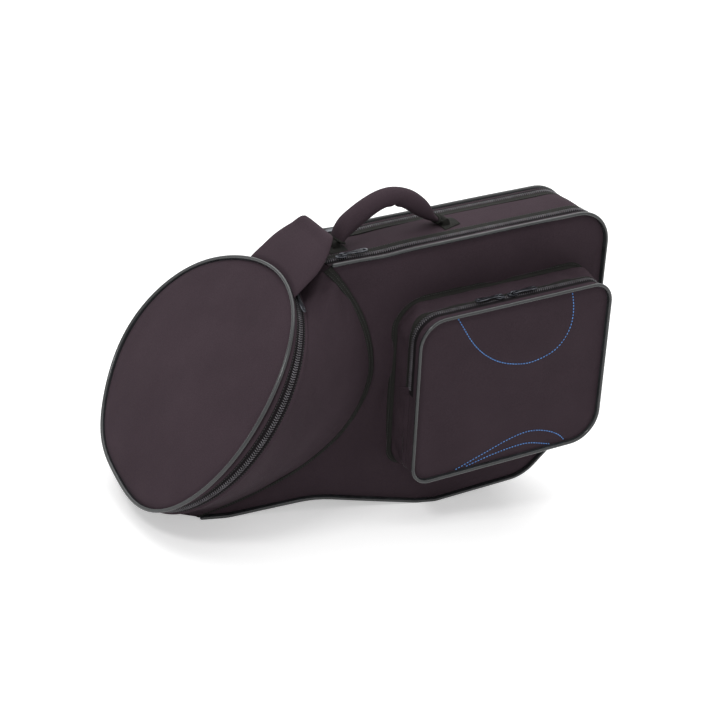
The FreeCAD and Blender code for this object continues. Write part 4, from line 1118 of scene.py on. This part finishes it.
def pocket_height(flat, edge):
    """Padded face of the pocket, drawn in a little along its decorative stitching."""
    y = padded_face(POCKET_Y + 1.8, 1.2, -1, 71, drop=2.2)(flat, edge)
    for line in STITCH_LINES:
        y = y + 0.7 * np.exp(-(distance(flat, line) / 2.2) ** 2)
    return creased(y, flat, POCKET_CREASES)


def pocket_zip_span():
    """The part of the pocket's outline that the zipper covers, from left to right over the top."""
    count = len(POCKET.line)
    order = np.roll(np.arange(count), count // 2)
    order = order[POCKET.line[order, 1] >= POCKET_ZIP_LOW]
    return Outline(POCKET.line[order], POCKET.out[order])


def back_to_start(values):
    """A closed row with its first point repeated at its end."""
    return np.vstack([values, values[:1]])


def make_pocket():
    """The pocket's padded face with its decorative stitching, piping, border and zipper."""
    loop = inset(POCKET, 0.5)
    face = pillow("pocket_face", loop, pocket_height, level(-110.2), 4.2, [FABRIC, BRUSHED],
                  inner_look=1)
    dress(face, "pocket_front", ["pocket_front_cover", "pocket_front_foam"])
    for index, line in enumerate(STITCH_LINES):
        line = line[inside(line, inset(POCKET, 1.5))]
        y = pocket_height(line, distance(line, loop, True))
        sew("pocket_stitches_%d" % index, "pocket_front",
            np.stack([line[:, 0], y, line[:, 1]], axis=1), facing(line, -1), BLUE, long=3.2,
            thick=0.74, lift=0.42)
    cord = tube("pocket_piping_cord", at_y(POCKET, CORD_SEAT, POCKET_Y - CORD_SEAT), CORD, [PIPING],
                closed=True, welt=-45)
    dress(cord, "pocket_front", ["pocket_piping"])
    ys = [-113.0, -112.2, -110.0, -107.0, -104.5, -102.6, -100.0, -97.5, -95.5, -94.15]
    band = closed_grid("pocket_face_band",
                       ribbon(POCKET, ys, [-0.8, 0.1, 0.9, 1.0, 0.7, 0.2, 0.1, 0.0, 0.0, -0.1]),
                       ribbon(POCKET, ys, -POCKET_WALL), [FABRIC, COIL_TAPE], wrap=True,
                       column_look=[0, 0, 0, 0, 0, 1, 1, 1, 1], banded=POCKET_ZIPPED)
    dress(band, "pocket_front", ["pocket_front_border"])
    span = pocket_zip_span()
    zip_row("pocket_zip_front_row", "pocket_front", -1, span, POCKET_ZIP_Y)
    zip_row("pocket_zip_base_row", "front_lid", 1, span, POCKET_ZIP_Y)
    make_pocket_side()
    make_pocket_tabs(span)
    make_pocket_binding()


def make_pocket_side():
    """The pocket's loose wall, with tape along its zipper and wrinkles at its corners."""
    ys = np.concatenate([[-93.85, -92.0, -90.0, -87.5, -84.5, -83.5], np.linspace(-81, -56, 12),
                         [-53.2]])
    profile = np.concatenate([[-0.1, 0.0, 0.1, 0.2, 0.25, 0.0],
                              0.9 * np.sin(np.linspace(0.2, 3.0, 12)), [0.3]])
    out = lift3(POCKET)
    bend = np.linalg.norm(np.roll(POCKET.out, -3, axis=0) - np.roll(POCKET.out, 3, axis=0), axis=1)
    corner = np.convolve(np.concatenate([bend[-6:], bend, bend[:6]]), np.ones(13) / 13, "valid")
    crumple = 1.0 + 2.6 * np.clip(corner / max(corner.max(), 1e-6), 0, 1)
    s = np.arange(len(out)) * 4.0
    across = np.clip(np.minimum(ys + 93.85, -53.0 - ys) / 12.0, 0, 1)
    ripple = soft(np.stack(np.meshgrid(s, ys * 0.6, indexing="ij"), axis=-1), 21, 81, 9)
    broad = soft(np.stack(np.meshgrid(s, ys * 0.5, indexing="ij"), axis=-1), 55, 82)
    amount = (1.3 * ripple * crumple[:, None] + 1.1 * broad) * across[None]
    outer = ribbon(POCKET, ys, profile) + out[:, None] * amount[..., None]
    inner = ribbon(POCKET, ys, -POCKET_WALL) + out[:, None] * np.minimum(amount, 0.6)[..., None]
    wall = closed_grid("pocket_side", outer, inner, [FABRIC, RIBBON, BRUSHED], wrap=True,
                       inner_look=2, column_look=[1] * 4 + [0] * (len(ys) - 5),
                       banded=POCKET_ZIPPED)
    dress(wall, "front_lid", ["pocket_gusset"])
    sew("pocket_side_stitches", "front_lid", back_to_start(at_y(POCKET, 0.35, -85.3)),
        back_to_start(out))


def make_pocket_tabs(span):
    """Small slanted tabs of cloth at the two ends of the pocket's zipper."""
    ys = np.array([-93.7, -90.0, -85.0, -79.0, -73.0, -68.0])
    drop = np.array([7.0, 6.2, 3.0, 0.0, -2.4, -3.0])
    lean = np.array([0.0, 1.0, 1.4, 1.5, 1.2, 0.0])
    thick = np.array([0.2, 1.0, 1.3, 1.4, 1.1, 0.2]) + 0.6
    for name, index in (("left", 0), ("right", -1)):
        end, way = span.line[index], span.out[index][0]
        outer = np.stack(np.broadcast_arrays((end[0] + way * (1.0 + lean))[:, None], ys[None],
                                             end[1] - drop[:, None] - (ys + 93.7) * 0.42), axis=-1)
        inner = outer.copy()
        inner[..., 0] -= way * thick[:, None]
        dress(closed_grid("pocket_zip_end_%s" % name, outer, inner, [FABRIC]), "front_lid")


def make_pocket_binding():
    """Ribbed tape round the pocket's base, folded over the edge of its wall."""
    across = np.array([-0.4, 0.0, 1.2, 3.2, 5.4, 6.3, 6.6]) + 1.0
    high = np.array([-57.6, -56.6, -54.9, -54.0, -53.7, -53.4, -52.6])
    outer = ribbon(POCKET, high, across)
    wave = 0.35 * soft(POCKET.line, 30, 91)
    outer[..., 1] -= wave[:, None] * np.clip(high + 57.6, 0, 1)[None]
    tape = closed_grid("pocket_base_tape", outer, ribbon(POCKET, -51.5, across), [RIBBON], wrap=True)
    dress(tape, "front_lid", ["pocket_base_binding"])
    line = back_to_start(at_y(POCKET, 5.2, -53.95))
    sew("pocket_base_stitches", "front_lid", line, facing(line, -1), thick=0.3)


# The handle

HANDLE_LINE = [(-32.5, 387.0), (-29.5, 393.0), (-19.5, 404.5), (-2.0, 417.5), (20.0, 428.5),
               (42.0, 431.8), (64.0, 425.8), (82.0, 413.8), (96.0, 401.5), (108.0, 390.5),
               (114.0, 387.0)]
HANDLE_TALL = [(0, 4.2), (0.05, 8.0), (0.12, 12.0), (0.3, 12.8), (0.5, 12.0), (0.58, 11.8),
               (0.7, 13.0), (0.82, 12.2), (0.9, 9.0), (0.96, 5.0), (1, 3.2)]
HANDLE_WIDE = [(0, 14.5), (0.05, 15.0), (0.12, 14.6), (0.3, 14.0), (0.5, 13.4), (0.58, 13.6),
               (0.7, 13.8), (0.82, 13.0), (0.9, 11.4), (0.96, 9.8), (1, 9.0)]


def row_point(x, y, z):
    """A point of the bag as three plain lengths in metres, in the frame of the stance."""
    return tuple(float(value) for value in to_row(np.array([x, y, z], float)))


HANDLE_BEND = ("shell", row_point(43.5, 0, 383.5), row_point(43.5, 0, 404))


def make_handle():
    """Padded grip with flattened sewn ends and a fold inside its crest."""
    line = spline(HANDLE_LINE, 2.6)
    count, sides = len(line), 40
    share = np.linspace(0, 1, count)
    tall = np.interp(share, *zip(*HANDLE_TALL))
    wide = np.interp(share, *zip(*HANDLE_WIDE))
    kernel = np.ones(5) / 5
    tall = np.convolve(np.pad(tall, 2, "edge"), kernel, "valid")
    wide = np.convolve(np.pad(wide, 2, "edge"), kernel, "valid")
    along = unit(np.gradient(line, axis=0))
    out = np.stack([-along[:, 1], np.zeros(count), along[:, 0]], axis=1)
    turn = turns(sides)
    centre = np.stack([line[:, 0], np.zeros(count), line[:, 1]], axis=1)
    up, aside = np.cos(turn), np.sin(turn)
    below = np.clip(-up, 0, 1) ** 2
    pinch = 5.0 * np.exp(-((share - 0.555) / 0.018) ** 2)
    bulge = 1.3 * (np.exp(-((share - 0.51) / 0.03) ** 2) + np.exp(-((share - 0.605) / 0.03) ** 2))
    reach = tall[:, None] * up[None] + (pinch - bulge)[:, None] * below[None]
    side = wide[:, None] * aside[None]
    rough = np.stack(np.broadcast_arrays(share[:, None] * 160, 14 * up[None], 14 * aside[None]), -1)
    swollen = 1 + 0.02 * soft(rough, 40, 101)
    points = centre[:, None] + out[:, None] * (reach * swollen)[..., None]
    points[..., 1] += side * swollen
    uv = np.stack(np.broadcast_arrays(travelled(centre)[:, None], turn[None] * 13.5), axis=-1)
    grip = mesh_object("handle_pad", points.reshape(-1, 3), ring_faces(count, sides),
                       uv.reshape(-1, 2), [FABRIC], sharp=70)
    dress(grip, "handle", ["handle_grip"], HANDLE_BEND)
    seam = centre + out * (-tall * 0.93)[:, None]
    seam[:, 1] = 3.0
    keep = slice(8, count - 12)
    sew("handle_seam_stitches", "handle", seam[keep], -out[keep])
    make_handle_ends(centre, out, along, tall)
    make_handle_anchors()


def make_handle_ends(centre, out, along, tall):
    """Webbing bound over each end of the grip and down to its pin."""
    widths = np.linspace(-8.8, 8.8, 9)
    for name, index, way, half, pin_x in (("left", 0, -1, 15.4, -33.0),
                                          ("right", -1, 1, 10.2, 120.0)):
        at = centre[index]
        run = np.array([along[index][0], 0, along[index][1]]) * -way
        loop = []
        for a in turns(28):
            lift = math.copysign(abs(math.cos(a)) ** 0.7, math.cos(a)) * (tall[index] + 1.0)
            loop.append(at + out[index] * lift + np.array([0, math.sin(a) * half, 0]) + run * 0.6)
        binding = tube("handle_binding_%s" % name, loop, 1.5, [WEBBING], closed=True, sides=10,
                       normal=run)
        pin = np.array([pin_x, 0, 384.5])
        path = [at - run + (pin - (at - run)) * t for t in np.linspace(0, 1, 6)]
        path = np.array(path + [pin + np.array([way * 3.5, 0, -0.2])])
        tangent = unit(np.gradient(path, axis=0))
        flat = np.stack([-tangent[:, 2], np.zeros(len(path)), tangent[:, 0]], axis=1)
        skins = []
        for thick in (1.15, -1.15):
            skin = np.repeat(path[:, None] + flat[:, None] * thick, len(widths), axis=1)
            skin[..., 1] = widths[None]
            skins.append(skin)
        webbing = closed_grid("handle_webbing_%s" % name, skins[0], skins[1], [WEBBING])
        for part in (binding, webbing):
            dress(part, "handle", ["handle_webbing"], bend=HANDLE_BEND)


def make_handle_anchors():
    """Loops that hold the handle's pins, on sewn patches of tape."""
    ys = np.array([-10.0, -9.4, -6, -3, 0, 3, 6, 9.4, 10.0])
    fall = np.array([0.75, 0.97, 1, 1, 1, 1, 1, 0.97, 0.75])
    places = np.array([-1, -0.97, -0.7, -0.35, 0, 0.35, 0.7, 0.97, 1])
    for name, way, x, ends, halves in (("left", -1, -33.3, (-53.0, -27.0), (22, 19)),
                                       ("right", 1, 120.3, (117.0, 145.0), (20, 11))):
        xs = np.linspace(x, x + way * 10.0, 9)
        hump = np.sqrt(np.clip(1 - ((xs - (x + way * 4.6)) / 5.6) ** 2, 0.05, 1))
        x2, y2 = np.meshgrid(xs, ys, indexing="ij")
        outer = np.stack([x2, y2, TOP + 0.6 + (10.2 * hump)[:, None] * fall[None]], axis=-1)
        inner = np.stack([x2, y2, np.full_like(x2, TOP + 0.1)], axis=-1)
        loop = closed_grid("handle_anchor_%s" % name, outer, inner, [WEBBING], sharp=40)
        dress(loop, "shell", ["handle_anchors"])
        xs = np.linspace(*ends, 9)
        half = np.interp(xs, ends, halves)
        outer = np.stack(np.broadcast_arrays(
            xs[:, None], half[:, None] * places, TOP + 0.95 + 0.9 * (1 - places * places)), axis=-1)
        outer[:, [0, -1], 2] -= 0.5
        inner = outer.copy()
        inner[..., 2] = TOP - 0.1
        dress(closed_grid("handle_patch_%s" % name, outer, inner, [RIBBON]), "shell")


# The gussets of the two lids

def make_hinge_gussets():
    """Loose cloth that joins each lid to the band below its zipper. It lies folded in the seam."""
    pleat = 0.35 * np.sin(np.linspace(0, 5 * math.pi, 31))
    for name, body, sign, outline in (("front", "front_lid", -1, BAND),
                                      ("rear", "rear_cover", 1, PANEL)):
        first = np.argmin(np.linalg.norm(outline.line - ZIP_RUN.line[-1], axis=1))
        run = Outline(outline.line[first:-1], outline.out[first:-1])
        ys = sign * np.linspace(35.9, 38.1, 31)
        gusset = closed_grid("%s_hinge_gusset" % name, ribbon(run, ys, pleat - 1.9),
                             ribbon(run, ys, pleat - 3.0), [FABRIC])
        dress(gusset, body, bend=(
            "shell", row_point(100, sign * 35.9, 20), row_point(100, sign * 38.1, 20)))


# The insides

def pad_skins(outline, ys, top, ends):
    """Outer and inner face of a pad on the band's lining, thinner towards its ends."""
    outer = np.stack([at_y(outline, (t + 7.5) * ends - 7.5, y) for y, t in zip(ys, top)], axis=1)
    return outer, ribbon(outline, ys, -7.4)


def from_ends(count):
    """How many steps of a row each point lies from its nearer end, over three."""
    return np.minimum(np.arange(count), np.arange(count)[::-1]) / 3.0


def make_insides():
    """Divider wall, bottom and end padding, and the strap that holds the horn."""
    band_loop = inset(BAND, WALL + 0.3)
    cone_side = SEAM + np.array([0.6, -0.6])
    keep = inside(band_loop, seam_side_loop())
    wall = pillow("divider_wall", np.vstack([band_loop[keep], cone_side[::-1][3:-3]]),
                  padded_face(27.2, 0.3, -1, 111, drop=0.9, roll=5.0),
                  lambda f, e: 30.0 + 0.9 * (1 - np.exp(-e / 5.0)), 9.0, [BRUSHED])
    dress(wall, "shell", ["back_wall"])
    base = rounded(PANEL_CORNERS[3:7], [0] + PANEL_RADII[4:6] + [0], 5.0)
    ys = np.array([-36.6, -35.0, -31, -20, -8, 4, 14, 21, 24.4, 25.8])
    outer, inner = pad_skins(base, ys, [-17.0, -19.6, -21.0, -21.2, -21.2, -21.2, -21.2, -21.0,
                                        -19.6, -17.0], np.clip(from_ends(len(base.line)), 0.25, 1))
    outer = swell(outer, 0.5, 40, 112, 6.0, base)
    dress(closed_grid("bottom_padding", outer, inner, [PADDING]), "shell",
          ["bottom_cradle"])
    end = Outline(np.stack([np.full(40, RIGHT), np.linspace(328, 128, 40)], axis=1),
                  np.tile([1.0, 0.0], (40, 1)))
    ends = np.sqrt(np.clip(1 - (1 - np.clip(from_ends(40), 0, 1)) ** 2, 0.1, 1))
    outer, inner = pad_skins(end, ys, [-15.0, -17.4, -18.8, -19.1, -19.2, -19.2, -19.1, -18.8,
                                       -17.4, -15.0], ends)
    dress(closed_grid("end_padding", outer, inner, [PADDING]), "shell",
          ["end_cushion"])
    x, z = np.meshgrid(np.linspace(30, 290, 66), [190.0, 190.8, 198, 207, 216, 223.2, 224.0],
                       indexing="ij")
    slack = 0.35 * np.sin(x * 0.06) * np.sin(np.pi * (x - 30) / 260)
    outer = np.stack([x, 24.25 - np.abs(slack) * 0.4, z], axis=-1)
    inner = np.stack([x, np.full_like(x, 25.9), z], axis=-1)
    dress(closed_grid("horn_strap", outer, inner, [WEBBING]), "shell",
          ["retaining_strap"])
    for name, x in (("left", 36.0), ("right", 284.0)):
        line = np.array([[x, 24.1, h] for h in np.linspace(193, 221, 30)])
        sew("horn_strap_stitches_%s" % name, "shell", line, facing(line, -1))


def seam_side_loop():
    """Everything on the flat panels' side of the seam."""
    far = 600.0
    return np.vstack([SEAM + np.array([0.8, -0.8]), [(FOOT_LEFT, -far), (far, -far), (far, far),
                                                     (-72, far)]])


# Sliders and pulls

def outline_plate(name, outer, holes, thick, bevel, lift):
    """Plate with holes and softened edges, in its own frame, with its middle at the lift."""
    curve = bpy.data.curves.new(name, "CURVE")
    curve.dimensions = "2D"
    curve.fill_mode = "BOTH"
    curve.extrude = (thick / 2 - bevel) * MM
    curve.bevel_depth = bevel * MM
    curve.bevel_resolution = 2
    curve.offset = -bevel * MM
    for points in [outer] + holes:
        part = curve.splines.new("POLY")
        part.points.add(len(points) - 1)
        for point, (x, y) in zip(part.points, points):
            point.co = (x * MM, y * MM, 0, 1)
        part.use_cyclic_u = True
    made = add(name + "_curve", curve)
    mesh = bpy.data.meshes.new_from_object(made.evaluated_get(
        bpy.context.evaluated_depsgraph_get()))
    bpy.data.objects.remove(made)
    mesh.transform(Matrix.Translation((0, 0, lift * MM)))
    return mesh


def rounded_line(corners, radius, steps=5):
    """Closed line with rounded corners."""
    points = []
    count = len(corners)
    for i in range(count):
        a, b, c = (np.array(corners[(i + k - 1) % count], float) for k in range(3))
        d, e = unit(b - a), unit(c - b)
        cut = min(radius, np.linalg.norm(b - a) * 0.45, np.linalg.norm(c - b) * 0.45)
        for t in np.linspace(0, 1, steps):
            p, q = b - d * cut * (1 - t), b + e * cut * t
            points.append(tuple(p + (q - p) * t))
    return points


SLIDER_SHAPE = [(-7.4, -2.6), (-5.0, -4.6), (2.5, -4.7), (7.4, -3.2), (7.4, 3.2), (2.5, 4.7),
                (-5.0, 4.6), (-7.4, 2.6)]
PULL_SHAPE = [(-0.9, -2.6), (1.5, -3.5), (6.5, -3.4), (9.5, -2.5), (15.0, -2.8), (28.0, -4.3),
              (35.0, -4.2), (37.7, -1.9), (37.7, 1.9), (35.0, 4.2), (28.0, 4.3), (15.0, 2.8),
              (9.5, 2.5), (6.5, 3.4), (1.5, 3.5), (-0.9, 2.6)]
PULL_WINDOW = [(0.9, -1.7), (6.4, -1.7), (6.4, 1.7), (0.9, 1.7)]
PIVOT = 5.5


def placement(axes, origin):
    """Matrix with these three axes and this origin."""
    made = Matrix.Identity(4)
    for k, axis in enumerate(axes):
        for r in range(3):
            made[r][k] = axis[r]
    made.translation = Vector(origin)
    return made


def frame_at(origin, along, out):
    """Placement in the row frame of a slider's own frame."""
    start = to_row(np.array(origin, float))
    x = unit(to_row(np.array(origin) + along) - start)
    z = unit(to_row(np.array(origin) + out) - start)
    return placement((x, np.cross(z, x), z), start)


def join_meshes(name, meshes, look):
    """One metal piece of several meshes."""
    shell = bmesh.new()
    for mesh in meshes:
        shell.from_mesh(mesh)
    made = bpy.data.meshes.new(name)
    shell.to_mesh(made)
    shell.free()
    made.materials.append(look)
    for polygon in made.polygons:
        polygon.material_index = 0
    made.shade_smooth()
    made.set_sharp_from_angle(angle=math.radians(35))
    return add(name, made)


def local_tube(line, wide, high, sides=12):
    """Bar along a line in a slider's own frame."""
    line = np.asarray(line, float)
    along = unit(np.gradient(line, axis=0))
    side = facing(line, 1)
    third = np.cross(along, side)
    turn = turns(sides)
    ring = (np.cos(turn)[None, :, None] * side[:, None] * wide
            + np.sin(turn)[None, :, None] * third[:, None] * high)
    points = (line[:, None] + ring).reshape(-1, 3) * MM
    faces = ring_faces(len(line), sides)
    faces[-2] = faces[-2][::-1]
    mesh = bpy.data.meshes.new("bar")
    mesh.from_pydata(points.tolist(), [], faces)
    return mesh


def make_slider(name, origin, along, out):
    """Zipper slider with its bridge, and the pull in it."""
    place = frame_at(origin, along, out)
    plate = outline_plate(name, rounded_line(SLIDER_SHAPE, 1.6), [], 1.5, 0.4, 3.35)
    rib = outline_plate(name, rounded_line([(-5.8, -1.6), (6.0, -1.6), (6.0, 1.6), (-5.8, 1.6)],
                                           1.2), [], 0.9, 0.3, 4.2)
    turn = np.linspace(math.pi, 0, 15)
    arch = [(3.6 * math.cos(a), 0.0, 4.0 + 3.5 * math.sin(a) ** 0.75) for a in turn]
    bridge = local_tube(arch, 1.15, 0.62)
    slider = join_meshes(name + "_slider_metal", [plate, rib, bridge], METAL)
    slider.data.transform(place)
    dress(slider, name + "_slider", [name + "_slider"])
    hole = [(33.0 + 1.9 * math.cos(a), 1.9 * math.sin(a)) for a in turns(20)]
    paddle = outline_plate(name, rounded_line(PULL_SHAPE, 1.4),
                           [rounded_line(PULL_WINDOW, 0.9), hole], 1.7, 0.45, PIVOT)
    pull = join_meshes(name + "_pull_metal", [paddle], METAL)
    pull.data.transform(place)
    dress(pull, name + "_pull", [name + "_pull"])


def make_sliders():
    """The five sliders, each with its pull."""
    right, up = np.array([1.0, 0, 0]), np.array([0, 0, 1.0])
    make_slider("main", (-47, -ZIP_Y, TOP), right, up)
    make_slider("rear", (-47, ZIP_Y, TOP - float(rear_drop(ZIP_Y))), right, up)
    make_slider("pocket_left", (159, POCKET_ZIP_Y, POCKET_HIGH), -right, up)
    make_slider("pocket_right", (178.5, POCKET_ZIP_Y, POCKET_HIGH), right, up)
    angle = math.radians(20)
    out = BELL_UP * math.cos(angle) + FRONT * math.sin(angle)
    ahead = FRONT * math.cos(angle) - BELL_UP * math.sin(angle)
    make_slider("bell", BELL_CENTRE + out * RADIUS - BELL_AXIS * BELL_ZIP, ahead, out)


# The floor, the light and the camera

AMBIENT = 0.42
FLOOR_LIFT = 0.45
LAMPS = [("key", (-2.0, -1.0, 2.3), (0.6, 0.6), 22.0),
         ("top", (0.6, 1.6, 4.2), (7.0, 7.0), 210.0)]
CAMERA_AT = (-1187.9, -1977.1, 1457.8)
CAMERA_BACK = (-0.4554, -0.7516, 0.4772)
CAMERA_RIGHT = (0.8662, -0.4979, 0.0422)
CAMERA_UP = (0.2059, 0.4325, 0.8777)
LENS = 100.0
SENSOR = 36.0


def seen_rays(tree):
    """1 for the rays that show the background: camera, glossy and transmission rays."""
    path = tree.nodes.new("ShaderNodeLightPath")
    value = path.outputs["Is Camera Ray"]
    for name in ("Is Glossy Ray", "Is Transmission Ray"):
        either = tree.nodes.new("ShaderNodeMath")
        either.operation = "MAXIMUM"
        tree.links.new(value, either.inputs[0])
        tree.links.new(path.outputs[name], either.inputs[1])
        value = either.outputs[0]
    return value


def make_stage():
    """White floor, a studio world that lights evenly, and two lamps."""
    mesh = bpy.data.meshes.new("floor")
    reach = 14.0
    mesh.from_pydata([(-reach, -reach, 0), (reach, -reach, 0), (reach, reach, 0),
                      (-reach, reach, 0)], [], [(0, 1, 2, 3)])
    floor = add("floor", mesh)
    look = Look("pale_floor", 0.7, specular=0.2)
    mesh.materials.append(look.paint(look.blend(look.noise(3, 2), (0.90, 0.90, 0.90, 1),
                                                (0.92, 0.92, 0.92, 1))))
    look.shader.inputs["Emission Color"].default_value = (1, 1, 1, 1)
    lifted = look.maths("MULTIPLY", seen_rays(look.tree), FLOOR_LIFT)
    look.link(lifted, look.shader.inputs["Emission Strength"])
    world = bpy.data.worlds.new("studio")
    bpy.context.scene.world = world
    world.use_nodes = True
    tree = world.node_tree
    strength = tree.nodes.new("ShaderNodeMapRange")
    strength.inputs["To Min"].default_value = AMBIENT
    strength.inputs["To Max"].default_value = 1.0
    tree.links.new(seen_rays(tree), strength.inputs["Value"])
    sky = tree.nodes["Background"]
    sky.inputs["Color"].default_value = (1, 1, 1, 1)
    tree.links.new(strength.outputs["Result"], sky.inputs["Strength"])
    for name, place, size, power in LAMPS:
        lamp = bpy.data.lights.new(name, "AREA")
        lamp.shape = "RECTANGLE"
        lamp.size, lamp.size_y = size
        lamp.energy = power
        obj = add(name, lamp)
        obj.location = place
        aim = Vector((0, 0, 0.2)) - Vector(place)
        obj.rotation_euler = aim.to_track_quat("-Z", "Y").to_euler()


def make_camera():
    """The photograph's viewpoint, found in the bag's frame and turned by the stance angle."""
    data = bpy.data.cameras.new("photo_camera")
    data.lens = LENS
    data.sensor_width = SENSOR
    data.clip_end = 60.0
    camera = add("photo_camera", data)
    turn = np.array([[math.cos(STANCE), 0, -math.sin(STANCE)], [0, 1, 0],
                     [math.sin(STANCE), 0, math.cos(STANCE)]])
    axes = [unit(turn @ np.array(axis)) for axis in (CAMERA_RIGHT, CAMERA_UP, CAMERA_BACK)]
    camera.matrix_world = placement(axes, to_row(np.array(CAMERA_AT)))
    bpy.context.scene.camera = camera


for make in (make_panels, make_side_bands, make_edge_tapes, make_outline_cords, make_zips, make_cones,
             make_hinge_gussets, make_bell_rim, make_bell_lid, make_flap, make_flap_fastener,
             make_pocket, make_handle, make_insides, make_sliders, make_stage, make_camera):
    make()
bpy.context.scene.view_settings.view_transform = "Standard"

bpy.context.view_layer.update()
